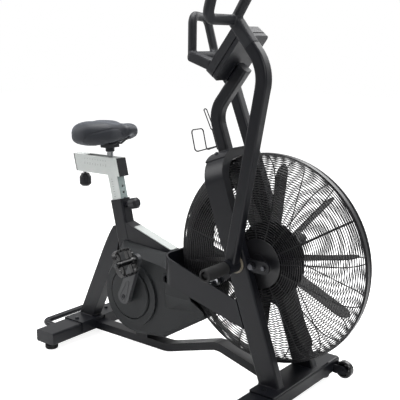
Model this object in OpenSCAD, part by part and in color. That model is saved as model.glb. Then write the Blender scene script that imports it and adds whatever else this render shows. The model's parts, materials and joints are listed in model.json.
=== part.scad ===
// Air bike: a fan exercise bike with a wire-caged fan wheel, swinging arms and cranks.
// Millimetres. +X forwards to the fan, +Y to the rider's left, +Z up, floor at z = 0.
// Pieces are drawn with the fan axle at x = 0, then moved so the origin is under the middle.

/* [Base] */
// Width of the front and rear floor tubes
base_w = 520; // [500:5:560]
// Depth of the floor tubes
tube_d = 100; // [94:1:106]
// Height of the floor tubes
tube_h = 50; // [46:1:54]
// Height of the levelling feet
foot_h = 28; // [24:1:34]
// Rear floor tube behind the fan axle
rear_back = 905; // [890:5:930]
// Front floor tube ahead of the fan axle
front_ahead = 91; // [86:1:98]
// Reach of the rear lifting handle behind its tube
lift_reach = 92; // [70:2:110]

/* [Fan] */
// Height of the fan axle
axle_z = 488; // [484:1:496]
// Outer radius of the cage
cage_r = 365; // [358:1:368]
// Half depth of the cage at its flat faces
cage_half = 78; // [74:1:79]
// Radius of the rounded cage shoulder
shoulder_r = 70; // [60:1:71]
// Wire diameter of the cage rings
ring_wire = 3; // [2.4:0.2:3.4]
// Rings on each flat face
face_rings = 25; // [20:1:27]
// Rings on each shoulder
shoulder_rings = 12; // [9:1:13]
// Radial wires on each side
rib_count = 16; // [12:1:18]
// Radius of the blade tips
blade_r = 334; // [300:2:338]
// Width of a blade along the axle
blade_w = 72; // [50:2:80]
// Number of blades
blade_count = 10; // [8:1:12]
// Radius of the blade disc
disc_r = 132; // [110:2:150]

/* [Fork] */
// Backward lean of the fork legs in degrees
leg_lean = 19; // [18:0.5:20]
// Width of a fork leg seen from the side
leg_w = 80; // [76:1:84]
// Thickness of a fork leg
leg_t = 36; // [34:1:38]
// Half the clear space between the legs
leg_in = 92; // [91:0.5:94]
// Fork centre line behind the axle
leg_back = 57; // [55:1:60]

/* [Arms] */
// Forward lean of the right arm in degrees
arm_lean = 11; // [8:0.5:13]
// Backward turn of the left arm from the right arm
arm_swing = 32; // [28:1:33]
// Straight length of an arm up to its bend
arm_len = 602; // [580:4:640]
// Width of the arm tube
arm_w = 42; // [38:1:44]
// Distance of the arm tube from the middle
arm_y = 155; // [153:1:160]
// Length of the handle stem above the arm bend
stem_len = 102; // [90:2:120]
// Width of the grip loop
loop_w = 145; // [130:1:160]
// Height of the grip loop
loop_h = 150; // [135:1:165]
// Diameter of the grip tube
grip_d = 34; // [30:1:36]
// Length of a foot peg
peg_len = 110; // [90:2:120]

/* [Drive] */
// Crank axis behind the fan axle
crank_back = 592; // [586:1:598]
// Height of the crank axis
crank_z = 257; // [252:1:262]
// Crank length
crank_len = 172; // [165:1:175]
// Forward lean of the right crank in degrees
crank_lean = 22; // [10:1:30]
// Half width of the drive cover at the cranks
cover_half = 76; // [74:1:77]
// Radius of the crank discs
crank_disc_r = 97; // [88:1:104]

/* [Seat] */
// Backward lean of the seat tube in degrees
seat_lean = 13; // [12:0.5:14]
// Height of the top of the seat tube
seat_tube_z = 607; // [600:1:612]
// Seat post length above the seat tube
post_out = 97; // [94:1:105]
// Length of the saddle slide tube
slide_len = 240; // [236:1:260]
// Saddle length
saddle_l = 280; // [265:1:295]
// Saddle width
saddle_w = 212; // [190:1:225]

/* [Mast] */
// Lower straight length of the mast up to its bend point
mast_low = 141; // [136:1:150]
// Upper straight length of the mast from its bend point
mast_up = 189; // [182:1:200]
// Tilt of the console from upright in degrees
console_tilt = 38; // [35:0.5:42]
// Console width
console_w = 160; // [140:2:180]
// Console height
console_h = 189; // [175:2:200]

/* [Hidden] */
$fn = 64;

black = "#2c2c2e";
dark = "#3a3a3d";
rubber = "#1d1d1f";
silver = "#c3c7c9";
steel = "#9a9da0";

wall = 3;
floor_top = foot_h + tube_h;
plate_t = 6;
lift_d = 24;
bar_swell = 0.3;
lift_x = -rear_back - tube_d / 2 - lift_reach;
middle_x = (cage_r + ring_wire / 2 + lift_x - lift_d / 2 - bar_swell) / 2;

// Fork frame: origin at the arm pivots, local z up the legs
leg_out = leg_in + leg_t;
arch_gap = 5;
arch_t = 28;
arch_in = cage_r + arch_gap - leg_back * sin(leg_lean);
arch_top = arch_in + arch_t;
arch_start = 70;
saddle_t = 4;

// Arm chain: lean angles turn forwards from upright
bend_r = 130;
arm_bend = 50;
stem_lean = arm_lean - arm_bend;
function lean(a) = [sin(a), 0, cos(a)];
seam_up = 26;
bend_end = arm_len * lean(arm_lean) + bend_r * (lean(stem_lean + 90) - lean(arm_lean + 90));
arm_end = bend_end + seam_up * lean(stem_lean);
loop_root = arm_end + stem_len * lean(stem_lean);
inner_lean = arm_lean + 22;
outer_lean = arm_lean + 5;
shaft_d = 25;
run_gap = 0.05;
bearing_d = 52;
flange_t = 5;
sleeve_in = leg_out + flange_t + 0.5;
sleeve_out = arm_y + 36;
rocker_in = leg_in - 8;
rocker_end = [-104, 0, -89];
rod_y = 102;

// Drive
spindle_d = 20;
crank_in = 106;
crank_t = 18;
crank_out = crank_in + crank_t;
pedal_d = 14;
pedal_w = 98;
drum_gap = 6;

// Seat
seat_x = -719.5;
post_w = 53;
post_t = 40;
seat_tube_w = post_w + 12;
seat_tube_t = post_t + 12;
slip = 0.3;
slide_z = seat_tube_z + post_out * cos(seat_lean);
slide_h = 70;
slide_t = 48;
slide_front = -698;
saddle_x = -770;
clamp_z = slide_z + slide_h + 40;

// Mast and console
mast_w = 45;
mast_t = 40;
mast_n = -15;
mast_bend = leg_lean + console_tilt;
mast_r = 90;
mast_tangent = mast_r * tan(mast_bend / 2);
console_t = 49;
console_over = 25;
wire_d = 4.6;

// Helpers
function unit(v) = v / norm(v);

module both_sides() {
  children();
  mirror([0, 1, 0]) children();
}

module round_rect(w, h, r) {
  square([w - 2 * r, h], center = true);
  square([w, h - 2 * r], center = true);
  for (x = [-1, 1], y = [-1, 1]) translate([x * (w / 2 - r), y * (h / 2 - r)]) circle(r);
}

module tube_section(w, h, r = 7) {
  difference() {
    round_rect(w, h, r);
    round_rect(w - 2 * wall, h - 2 * wall, r - wall);
  }
}

// A shape drawn in x and z, given thickness from y0 up to y1
module side_slab(y0, y1) {
  translate([0, y1, 0]) rotate([90, 0, 0]) linear_extrude(y1 - y0) children();
}

// Children moved to p with their z axis along d
module along(p, d) {
  z = unit(d);
  h = abs(z[2]) < 0.9 ? [0, 0, 1] : [1, 0, 0];
  x = unit(cross(h, z));
  y = cross(z, x);
  multmatrix([for (i = [0:2]) [x[i], y[i], z[i], p[i]]]) children();
}

// Quarter-like bend of a round bar at corner b, coming along u and leaving along v
module elbow(b, u, v, r, bend) {
  a = acos(u * v);
  n = unit(v - (u * v) * u);
  c = b - u * bend * tan(a / 2) + bend * n;
  w = cross(-n, u);
  multmatrix([for (i = [0:2]) [-n[i], u[i], w[i], c[i]]])
    rotate_extrude(angle = a) translate([bend, 0]) circle(r);
}

// Round bar through points, with every inner corner bent to the same radius
module bent_bar(pts, r, bend) {
  last = len(pts) - 1;
  dirs = [for (i = [0:last - 1]) unit(pts[i + 1] - pts[i])];
  cuts = [for (i = [0:last]) i == 0 || i == last ? 0 : bend * tan(acos(dirs[i - 1] * dirs[i]) / 2)];
  for (i = [0:last - 1]) {
    back = i == 0 ? 0 : cuts[i] - 1;
    front = i == last - 1 ? 0 : cuts[i + 1] - 1;
    run = norm(pts[i + 1] - pts[i]) - back - front;
    along(pts[i] + dirs[i] * back, dirs[i]) cylinder(r = r, h = run);
  }
  for (i = [1:last - 1]) elbow(pts[i], dirs[i - 1], dirs[i], r + bar_swell, bend);
}

module hex_bolt(d, h) {
  cylinder(d = 2 * d, h = h, $fn = 6);
  translate([0, 0, h]) cylinder(d = 1.5 * d, h = 1);
}

module fork_frame() {
  translate([-leg_back, 0, axle_z]) rotate([0, -leg_lean, 0]) children();
}

module mast_frame() {
  fork_frame() translate([mast_n, 0, arch_top + saddle_t]) children();
}

// Frame at the bend point of the mast, local z up the upper part
module mast_upper() {
  mast_frame() translate([0, 0, mast_low]) rotate([0, mast_bend, 0]) children();
}

module console_frame() {
  mast_upper() translate([-mast_w / 2 - 6, 0, mast_up + console_over]) children();
}

module seat_frame() {
  translate([seat_x, 0, seat_tube_z]) rotate([0, -seat_lean, 0]) children();
}

module pivot_frame() {
  translate([-leg_back, 0, axle_z]) children();
}

module crank_frame(a) {
  translate([-crank_back, 0, crank_z]) rotate([0, a, 0]) children();
}

// Base
foot_y = base_w / 2 - 34;
module stud_holes(x) {
  for (y = [-foot_y, foot_y]) translate([x, y, foot_h - 1]) cylinder(d = 12.4, h = wall + 2);
}
module floor_tube(x) {
  translate([x, 0, foot_h + tube_h / 2]) rotate([90, 0, 0])
    linear_extrude(base_w - 8, center = true) tube_section(tube_d, tube_h, 8);
}

module rear_tube() {
  color(black) difference() {
    floor_tube(-rear_back);
    stud_holes(-rear_back);
  }
}

module tube_caps() {
  color(rubber) for (x = [-rear_back, front_ahead], s = [0, 1]) mirror([0, s, 0])
    translate([x, -base_w / 2, foot_h + tube_h / 2]) rotate([-90, 0, 0]) {
      linear_extrude(4) round_rect(tube_d, tube_h, 8);
      linear_extrude(22) difference() {
        round_rect(tube_d - 2 * wall - 0.4, tube_h - 2 * wall - 0.4, 4.8);
        round_rect(tube_d - 4 * wall, tube_h - 4 * wall, 3);
      }
    }
}

saddle_half = 105;
module rear_saddle() {
  color(black) translate([-rear_back, 0, 0]) {
    difference() {
      translate([-tube_d / 2 - saddle_t, -saddle_half, foot_h + 12])
        cube([tube_d + 2 * saddle_t, 2 * saddle_half, tube_h - 12 + saddle_t]);
      translate([-tube_d / 2, -saddle_half - 1, foot_h]) cube([tube_d, 2 * saddle_half + 2, tube_h]);
      translate([tube_d / 2 - 1, -beam_t / 2 - 1, 0]) cube([saddle_t + 2, beam_t + 2, floor_top]);
    }
  }
}

module lift_handle() {
  x0 = -rear_back - tube_d / 2;
  z = foot_h + tube_h / 2;
  color(black)
    bent_bar([[x0, -148, z], [lift_x, -148, z], [lift_x, 148, z], [x0, 148, z]], lift_d / 2, 34);
}

module feet() {
  color(rubber) for (x = [-rear_back, front_ahead], y = [-foot_y, foot_y])
    translate([x, y, 0]) {
      cylinder(d1 = 48, d2 = 52, h = 4);
      translate([0, 0, 4]) cylinder(d = 52, h = foot_h - 16);
      translate([0, 0, foot_h - 12]) cylinder(d = 30, h = 12);
      translate([0, 0, foot_h]) cylinder(d = 12, h = 20);
    }
}

// Centre beam between the floor tubes, cranked up under the fan
beam_t = 50;
beam_h = 32;
beam_z = foot_h + 4;
// Rise of the beam's underside along its length
beam_line = [
  [-475, 0], [-455, 2], [-435, 7], [-245, 63], [-228, 67.5], [-213, 68.5], [-198, 66.5], [-180, 61.5]
];
module beam_side(inset) {
  end = inset > 0 ? 1 : 0;
  xa = -rear_back + tube_d / 2 - end;
  xb = front_ahead - tube_d / 2 + end;
  line = concat([[xa, 0]], beam_line, [[xb, 0]]);
  polygon(concat(
    [for (p = line) [p[0], beam_z + p[1] + inset]],
    [for (i = [len(line) - 1:-1:0]) [line[i][0], beam_z + beam_h + line[i][1] - inset]]
  ));
}
module base_beam() {
  color(black) difference() {
    side_slab(-beam_t / 2, beam_t / 2) beam_side(0);
    side_slab(-beam_t / 2 + wall, beam_t / 2 - wall) beam_side(wall);
  }
}

wheel_d = 64;
wheel_t = 24;
wheel_y = base_w / 2 - 26;
wheel_x = front_ahead + tube_d / 2 + 37;
wheel_z = 46;
wheel_axle = 10;
module wheel_ear() {
  x0 = front_ahead + tube_d / 2 - 1;
  translate([x0, wheel_z - 16]) square([wheel_x - x0, 32]);
  translate([wheel_x, wheel_z]) circle(16);
}
module front_tube() {
  axle_l = wheel_t + 18;
  color(black) difference() {
    union() {
      floor_tube(front_ahead);
      for (s = [-1, 1]) translate([0, s * wheel_y, 0]) {
        for (t = [-1, 1]) translate([0, t * (wheel_t / 2 + 4), 0]) side_slab(-2.5, 2.5) wheel_ear();
        translate([wheel_x, axle_l / 2, wheel_z]) rotate([90, 0, 0])
          cylinder(d = wheel_axle, h = axle_l);
      }
    }
    stud_holes(front_ahead);
  }
}

module wheel(s) {
  color(rubber) translate([wheel_x, s * wheel_y, wheel_z]) rotate([90, 0, 0]) difference() {
    rotate_extrude() polygon([
      [wheel_axle / 2 + run_gap, -wheel_t / 2], [13, -wheel_t / 2],
      [13, -6], [24, -6], [24, -wheel_t / 2],
      [wheel_d / 2 - 3, -wheel_t / 2], [wheel_d / 2, -wheel_t / 2 + 3], [wheel_d / 2, wheel_t / 2 - 3],
      [wheel_d / 2 - 3, wheel_t / 2], [24, wheel_t / 2], [24, 6], [13, 6], [13, wheel_t / 2],
      [wheel_axle / 2 + run_gap, wheel_t / 2]
    ]);
    for (a = [0:72:359]) rotate(a) translate([18.5, 0, -7]) cylinder(d = 7, h = 14);
  }
}
module wheel_right() { wheel(-1); }
module wheel_left() { wheel(1); }

front_plate_half = 187;
module front_plate() {
  color(black) translate([front_ahead, 0, floor_top]) linear_extrude(plate_t)
    round_rect(tube_d - 2, 2 * front_plate_half, 8);
}

// Fork
module leg_body() {
  difference() {
    translate([0, 0, -470]) linear_extrude(470 + arch_start) tube_section(leg_w, leg_t);
    rotate([90, 0, 0]) cylinder(d = bearing_d, h = leg_t + 10, center = true);
  }
}

axle_tab_t = 6;
axle_tab_y = (leg_in + leg_out) / 2;
module axle_tab() {
  side_slab(-axle_tab_t / 2, axle_tab_t / 2) difference() {
    union() {
      translate([-60, axle_z - 22]) square([104, 44]);
      translate([44, axle_z]) circle(22);
    }
    translate([0, axle_z]) circle(d = 20.2);
    translate([44, axle_z]) circle(d = 10);
  }
}

module fork_legs() {
  color(black) both_sides() difference() {
    union() {
      translate([0, -(leg_in + leg_t / 2), 0]) fork_frame() leg_body();
      translate([0, -axle_tab_y, 0]) difference() {
        axle_tab();
        fork_frame() translate([-200 + leg_w / 2 - 2, -50, -200]) cube([200, 100, 400]);
      }
    }
    translate([-300, -200, floor_top + plate_t - 200]) cube([600, 400, 200]);
  }
}

module arch_outline(half, top, r) {
  translate([-half, arch_start]) square([2 * half, top - r - arch_start]);
  translate([-half + r, arch_start]) square([2 * half - 2 * r, top - arch_start]);
  for (s = [-1, 1]) translate([s * (half - r), top - r]) circle(r);
}

// Shape drawn in y and local z, given width w across the fork
module fork_slab(w) {
  fork_frame() rotate([90, 0, 90]) linear_extrude(w, center = true) children();
}

arch_r = 74;
module fork_arch() {
  color(black) difference() {
    fork_slab(leg_w) difference() {
      arch_outline(leg_out, arch_top, arch_r + arch_t);
      translate([0, -1]) arch_outline(leg_in, arch_in + 1, arch_r);
    }
    fork_slab(leg_w - 2 * wall) difference() {
      translate([0, -1]) arch_outline(leg_out - wall, arch_top - wall + 1, arch_r + arch_t - wall);
      translate([0, -2]) arch_outline(leg_in + wall, arch_in + wall + 2, arch_r + wall);
    }
  }
}

mast_saddle_half = 92;
module mast_saddle() {
  color(black) intersection() {
    fork_slab(leg_w + 2 * saddle_t) difference() {
      arch_outline(leg_out + saddle_t, arch_top + saddle_t, arch_r + arch_t + saddle_t);
      translate([0, -1]) arch_outline(leg_out, arch_top + 1, arch_r + arch_t);
    }
    fork_slab(leg_w + 2 * saddle_t)
      translate([-mast_saddle_half, 0]) square([2 * mast_saddle_half, 600]);
  }
}

// Mast path with the given section, the bend a touch fuller than the straights
module mast_run(w, t, r, reach) {
  low = mast_low - mast_tangent;
  mast_frame() translate([0, 0, -reach]) linear_extrude(low + 1 + reach) round_rect(w, t, r);
  mast_frame() translate([mast_r, 0, low]) rotate([90, 0, 180]) rotate_extrude(angle = mast_bend)
    translate([mast_r, 0]) round_rect(w + 2 * bar_swell, t + 2 * bar_swell, r + bar_swell);
  mast_upper() translate([0, 0, mast_tangent - 1]) linear_extrude(mast_up - mast_tangent + 1 + reach)
    round_rect(w, t, r);
}
module mast() {
  color(black) difference() {
    mast_run(mast_w, mast_t, 9, 0);
    mast_run(mast_w - 2 * wall, mast_t - 2 * wall, 6, 1);
  }
}

module mast_cap() {
  color(dark) mast_upper() translate([0, 0, mast_up]) {
    linear_extrude(10) round_rect(mast_w, mast_t, 9);
    translate([0, 0, -16]) linear_extrude(17)
      round_rect(mast_w - 2 * wall - 0.4, mast_t - 2 * wall - 0.4, 5.8);
  }
}

// Slab across the console: y is its width, local z its height
module console_slab(x0, x1, trim = 0) {
  console_frame() translate([x0, 0, 0]) rotate([90, 0, 90]) linear_extrude(x1 - x0)
    round_rect(console_w - 2 * trim, console_h - 2 * trim, 18 - trim);
}

module console_front() {
  color(dark) difference() {
    console_slab(-console_t, -18);
    console_frame() translate([-console_t - 1, 0, 14]) rotate([90, 0, 90]) linear_extrude(4)
      round_rect(console_w - 34, console_h - 66, 8);
  }
}

module console_back() {
  color(black) {
    console_slab(-18, -14, 3);
    console_slab(-14, 0, 0.6);
    console_frame() translate([0, 0, -console_over - 33]) rotate([90, 0, 90]) linear_extrude(6)
      round_rect(mast_t - 4, 72, 6);
  }
}

module console_screen() {
  color("#11161c") console_frame() translate([-console_t + 0.5, 0, 14])
    rotate([90, 0, 90]) linear_extrude(2.5) round_rect(console_w - 35, console_h - 67, 7.5);
}

// Bottle cage: a strip on the mast, a wire basket and an upright wire loop
cage_plate_t = 4;
cage_low = 26;
cage_high = 105;
cage_reach = 84;
cage_half_w = 33;
hairpin_z = 164;
module bottle_cage() {
  root = -mast_w / 2 - cage_plate_t / 2;
  out = root - cage_reach;
  foot = cage_low - 2;
  basket = [
    [root, -9, foot], [out, -cage_half_w, cage_low], [out + 8, -cage_half_w, cage_high],
    [out + 8, cage_half_w, cage_high], [out, cage_half_w, cage_low], [root, 9, foot]
  ];
  hairpin = [
    [root, -8, 76], [root - 9, -8, 90], [root - 18, -8, hairpin_z],
    [root - 18, 8, hairpin_z], [root - 9, 8, 90], [root, 8, 76]
  ];
  color(black) mast_frame() {
    difference() {
      translate([-mast_w / 2 - cage_plate_t, -14, 12]) cube([cage_plate_t, 28, 76]);
      for (z = [36, 60]) translate([-mast_w / 2 - 9, 0, z]) rotate([0, 90, 0]) cylinder(d = 6, h = 12);
    }
    bent_bar(basket, wire_d / 2, 12);
    bent_bar(hairpin, wire_d / 2 - 0.3, 6.5);
  }
}

// Seat tube, rear stay and top tube
seat_tube_l = 285;
module seat_tube_block(grow) {
  seat_frame() translate([0, 0, -seat_tube_l - grow]) linear_extrude(seat_tube_l + grow)
    round_rect(seat_tube_w + 2 * grow, seat_tube_t + 2 * grow, 8 + grow);
}
module seat_tube() {
  color(black) difference() {
    seat_tube_block(0);
    seat_frame() translate([0, 0, -seat_tube_l - 1]) linear_extrude(seat_tube_l + 2)
      round_rect(post_w + 2 * slip, post_t + 2 * slip, 4);
    seat_frame() translate([seat_tube_w / 2 - 12, 0, -26]) rotate([0, 90, 0]) cylinder(d = 12, h = 24);
  }
}

stay_lean = 26;
stay_w = 68;
stay_foot = [-rear_back - 8, floor_top + saddle_t];
module stay_side() {
  half = stay_w / 2 / cos(stay_lean);
  run = tan(stay_lean);
  zt = stay_foot[1] + 300;
  rear = [stay_foot[0] - half + 300 * run, zt];
  tip = [seat_x - 18, seat_tube_z - 110];
  turn = [rear[0] + 70 * run, rear[1] + 70];
  curve = [for (t = [0:0.125:1]) (1 - t) * (1 - t) * rear + 2 * t * (1 - t) * turn + t * t * tip];
  polygon(concat(
    [[stay_foot[0] + half, stay_foot[1]], [stay_foot[0] - half, stay_foot[1]]],
    curve,
    [[seat_x + 20, seat_tube_z - 130], [stay_foot[0] + half + 300 * run, zt - 20]]
  ));
}
module rear_stay() {
  color(black) difference() {
    side_slab(-25, 25) stay_side();
    seat_tube_block(0);
    translate([stay_foot[0], 0, stay_foot[1]]) rotate([0, stay_lean, 0]) translate([0, 0, -30])
      linear_extrude(290) round_rect(stay_w - 2 * wall, 50 - 2 * wall, 4);
  }
}

// Top tube runs down from the seat tube to the side stay
top_slope = 18;
top_h = 60;
top_t = 50;
top_x0 = -640;
top_z0 = 511;
stay_t = 6;
stay_gap = 20;
stay_back = -cage_r - stay_gap - stay_t;
module top_tube_side(grow) {
  drop = tan(top_slope);
  x0 = top_x0 - 40;
  z0 = top_z0 + 40 * drop;
  h = top_h / cos(top_slope);
  polygon([
    [x0, z0 + grow], [stay_back, z0 - (stay_back - x0) * drop + grow],
    [stay_back, z0 - (stay_back - x0) * drop - h - grow], [x0, z0 - h - grow]
  ]);
}
module top_tube_block(grow) {
  side_slab(-top_t / 2 - grow, top_t / 2 + grow) top_tube_side(grow);
}
module top_tube() {
  color(black) difference() {
    top_tube_block(0);
    translate([0, 0, -0.01]) side_slab(-top_t / 2 + wall, top_t / 2 - wall) top_tube_side(-wall);
    seat_tube_block(0);
  }
}
module top_trim() {
  color(silver) translate([top_x0, 0, top_z0]) rotate([0, top_slope, 0]) translate([114, 0, 0])
    linear_extrude(3) round_rect(200, top_t - 8, 6);
}

// Band plate that wraps behind the cage and runs along both sides to the legs
stay_r = 45;
module stay_plan(inset) {
  half = leg_out - inset;
  x0 = stay_back + inset;
  r = stay_r - inset;
  translate([x0 + r, -half]) square([600, 2 * half]);
  translate([x0, -half + r]) square([600, 2 * half - 2 * r]);
  for (s = [-1, 1]) translate([x0 + r, s * (half - r)]) circle(r);
}
module stay_band() {
  polygon([[stay_back - 1, 463], [20, 336], [20, 252.5], [stay_back - 1, 362]]);
}
module side_stay() {
  color(black) difference() {
    intersection() {
      linear_extrude(700) difference() {
        stay_plan(0);
        stay_plan(stay_t);
      }
      side_slab(-200, 200) stay_band();
    }
    fork_frame() translate([-leg_w / 2, -200, -470]) cube([400, 400, 900]);
  }
}

// Drive covers: two moulded shells that meet on the middle plane
flare_half = 117;
module drum_circle(r) {
  translate([-crank_back + 6, crank_z - 7]) circle(r);
}
module cover_form(e) {
  hull() {
    side_slab(-30, 0) {
      polygon([[-676 + e, 448 - e], [-418, 434 - e], [-418, 300], [-676 + e, 300]]);
      drum_circle(160 - e);
    }
    side_slab(-cover_half + 16, 0) {
      drum_circle(159 - e);
      translate([-640, 400]) circle(30 - e);
      translate([-439, 123]) circle(14 - e);
      translate([-200, 262]) circle(8 - e);
    }
    side_slab(-cover_half + e, 0) {
      drum_circle(146 - e);
      translate([-630, 396]) circle(22 - e);
      translate([-430, 374]) circle(20 - e);
      translate([-444, 138]) circle(14 - e);
      translate([-206, 272]) circle(8 - e);
    }
  }
  hull() {
    side_slab(-cover_half + 4 + e, 0) {
      translate([-424, 362]) circle(8 - e);
      translate([-412, 240]) circle(8 - e);
      translate([-226, 262]) circle(8 - e);
    }
    side_slab(-flare_half + e, 0) {
      translate([-380, 366]) circle(10 - e);
      translate([-374, 318]) circle(10 - e);
      translate([-258, 350]) circle(10 - e);
      translate([-262, 318]) circle(10 - e);
    }
  }
}
cover_wall = 4;
boss_up = 9;
module cover_cuts() {
  seat_tube_block(0.5);
  top_tube_block(0.5);
  translate([0, 0, axle_z]) rotate([90, 0, 0]) rotate_extrude() shield_section(-drum_gap);
  side_slab(-200, 200) polygon([[-331, 450], [-180, 139], [300, 139], [300, 600], [-331, 600]]);
  translate([stay_back - 4, -200, 354]) cube([200, 400, 300]);
  crank_frame(0) rotate([90, 0, 0]) cylinder(d = spindle_d + 14, h = 400, center = true);
  post_block(1);
  translate([-900, -100, 370]) cube([900 - 706, 200, 200]);
}
module cover_shell() {
  difference() {
    union() {
      cover_form(0);
      crank_frame(0) rotate([90, 0, 0]) cylinder(r = 128, h = cover_half + boss_up);
    }
    cover_form(cover_wall);
    crank_frame(0) rotate([90, 0, 0]) translate([0, 0, cover_half + 3])
      cylinder(r = crank_disc_r + 5, h = 40);
    translate([-1000, 0, 0]) cube([1000, 200, 700]);
    cover_cuts();
  }
}
module cover_right() { color(dark) cover_shell(); }
module cover_left() { color(dark) mirror([0, 1, 0]) cover_shell(); }

// Post from the centre beam up to the crank bearing
shell_d = 46;
shell_half = 40;
module post_block(grow) {
  translate([-crank_back - 30 - grow, -25 - grow, beam_z + beam_h])
    cube([60 + 2 * grow, 50 + 2 * grow, 120]);
}
module crank_post() {
  neck_z = beam_z + beam_h + 119;
  color(black) difference() {
    union() {
      post_block(0);
      translate([-crank_back, 0, neck_z]) linear_extrude(crank_z - neck_z) round_rect(44, 50, 6);
      crank_frame(0) rotate([90, 0, 0]) cylinder(d = shell_d, h = 2 * shell_half, center = true);
    }
    translate([-crank_back - 27, -22, beam_z + beam_h - 1]) cube([54, 44, 112]);
    crank_frame(0) rotate([90, 0, 0]) cylinder(d = spindle_d + 2 * run_gap, h = 100, center = true);
  }
}

// Fan cage
face_r0 = 94;
face_r1 = cage_r - ring_wire / 2 - shoulder_r;
function face_ring(i) = face_r0 + (face_r1 - face_r0) * i / (face_rings - 1);
shoulder_step = 84 / shoulder_rings;
rib_d = 4;
rib_in = (ring_wire + rib_d) / 2 - 0.02;
module guard_rings() {
  translate([0, 0, axle_z]) rotate([90, 0, 0]) rotate_extrude() {
    for (i = [0:face_rings - 1]) translate([face_ring(i), cage_half]) circle(d = ring_wire, $fn = 8);
    for (i = [1:shoulder_rings]) translate([face_r1, cage_half - shoulder_r]
      + shoulder_r * [sin(i * shoulder_step), cos(i * shoulder_step)]) circle(d = ring_wire, $fn = 8);
  }
}
module guard_right() { color(black) guard_rings(); }
module guard_left() { color(black) mirror([0, 1, 0]) guard_rings(); }

hub_plate_r = 86;
module rib() {
  y = cage_half - rib_in;
  bend = shoulder_r - rib_in;
  translate([hub_plate_r - 10, 0, y]) rotate([0, 90, 0])
    cylinder(d = rib_d, h = face_r1 - hub_plate_r + 10, $fn = 8);
  translate([face_r1, 0, cage_half - shoulder_r]) rotate([90, 0, 0]) rotate_extrude(angle = 90)
    translate([bend, 0]) circle(d = rib_d, $fn = 8);
}
module guard_ribs() {
  color(black) both_sides() translate([0, 0, axle_z]) rotate([90, 0, 0])
    for (i = [0:rib_count - 1]) rotate(360 / rib_count * (i + 0.35)) rib();
}

rim_t = 3;
module guard_rim() {
  rim_half = cage_half - shoulder_r;
  color(black) translate([0, 0, axle_z]) rotate([90, 0, 0]) difference() {
    cylinder(r = cage_r + ring_wire / 2, h = 2 * rim_half, center = true);
    cylinder(r = cage_r + ring_wire / 2 - rim_t - 4, h = 2 * rim_half + 2, center = true);
  }
}

// Solid wind shield behind the rear of the cage wires
module shield_section(inset) {
  translate([0, -cage_half + inset]) square([face_r1, 2 * cage_half - 2 * inset]);
  for (s = [-1, 1]) translate([face_r1, s * (cage_half - shoulder_r)]) circle(shoulder_r - inset);
  translate([face_r1, -cage_half + shoulder_r])
    square([shoulder_r - inset, 2 * cage_half - 2 * shoulder_r]);
}
shield_in = 9;
module wind_shroud() {
  color(black) translate([0, 0, axle_z]) rotate([90, 0, 0]) rotate(118) rotate_extrude(angle = 96)
    intersection() {
      union() {
        difference() {
          shield_section(shield_in);
          shield_section(shield_in + 2.5);
        }
        translate([cage_r - 12, -6]) square([12 + ring_wire / 2 - rim_t - 4, 12]);
      }
      translate([face_r1 + 6, -100]) square([100, 200]);
    }
}

axle_d = 20;
module hub_plates() {
  color(black) both_sides() translate([0, -cage_half + ring_wire / 2, axle_z]) rotate([90, 0, 0])
    difference() {
      union() {
        cylinder(r = hub_plate_r, h = 3);
        cylinder(r = 34, h = 7);
      }
      translate([0, 0, -1]) cylinder(d = axle_d + 0.2, h = 12);
    }
}

module fan_axle() {
  half = axle_tab_y + axle_tab_t / 2 + 16;
  seat = cage_half - ring_wire / 2 + 7;
  color(steel) translate([0, 0, axle_z]) rotate([90, 0, 0]) {
    cylinder(d = axle_d, h = 2 * half, center = true);
    for (s = [0, 1]) mirror([0, 0, s]) {
      translate([0, 0, seat]) cylinder(d = 28, h = axle_tab_y - axle_tab_t / 2 - seat);
      translate([0, 0, axle_tab_y + axle_tab_t / 2]) cylinder(d = 26, h = 8, $fn = 6);
    }
  }
}

// Bolt square to the rounded shoulder of the mast saddle
module saddle_bolt() {
  r = arch_r + arch_t;
  fork_frame() translate([-12, -leg_out + r, arch_top - r]) difference() {
    rotate([19, 0, 0]) translate([0, 0, r + saddle_t - 1]) hex_bolt(7, 6);
    rotate([0, 90, 0]) cylinder(r = r + saddle_t, h = 80, center = true);
  }
}

module frame_bolts() {
  color(steel) both_sides() {
    translate([front_ahead - 4, -158, floor_top + plate_t]) hex_bolt(8, 6);
    translate([-rear_back, -saddle_half + 20, floor_top + saddle_t]) hex_bolt(8, 6);
    translate([44, -axle_tab_y - axle_tab_t / 2, axle_z]) rotate([90, 0, 0]) hex_bolt(8, 6);
    saddle_bolt();
  }
}

// Fan wheel: disc, hub and round-tipped paddles
blade_t = 3;
hub_d = 62;
hub_half = 58;
module blade() {
  rotate([90, 0, 0]) linear_extrude(blade_t, center = true) {
    translate([hub_d / 2 - 4, -blade_w / 2]) square([blade_r - blade_w / 2 - hub_d / 2 + 4, blade_w]);
    translate([blade_r - blade_w / 2, 0]) circle(blade_w / 2);
  }
}
module fan_wheel() {
  color(black) translate([0, 0, axle_z]) rotate([90, 0, 0]) difference() {
    union() {
      cylinder(d = hub_d, h = 2 * hub_half, center = true);
      cylinder(r = disc_r, h = 4, center = true);
      for (i = [0:blade_count - 1]) rotate(11 + 360 / blade_count * i) blade();
    }
    cylinder(d = axle_d + 2 * run_gap, h = 200, center = true);
  }
}

// Cranks and pedals
module crank_spindle() {
  color(steel) crank_frame(0) rotate([90, 0, 0])
    cylinder(d = spindle_d, h = 2 * crank_in + 16, center = true);
}

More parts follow.
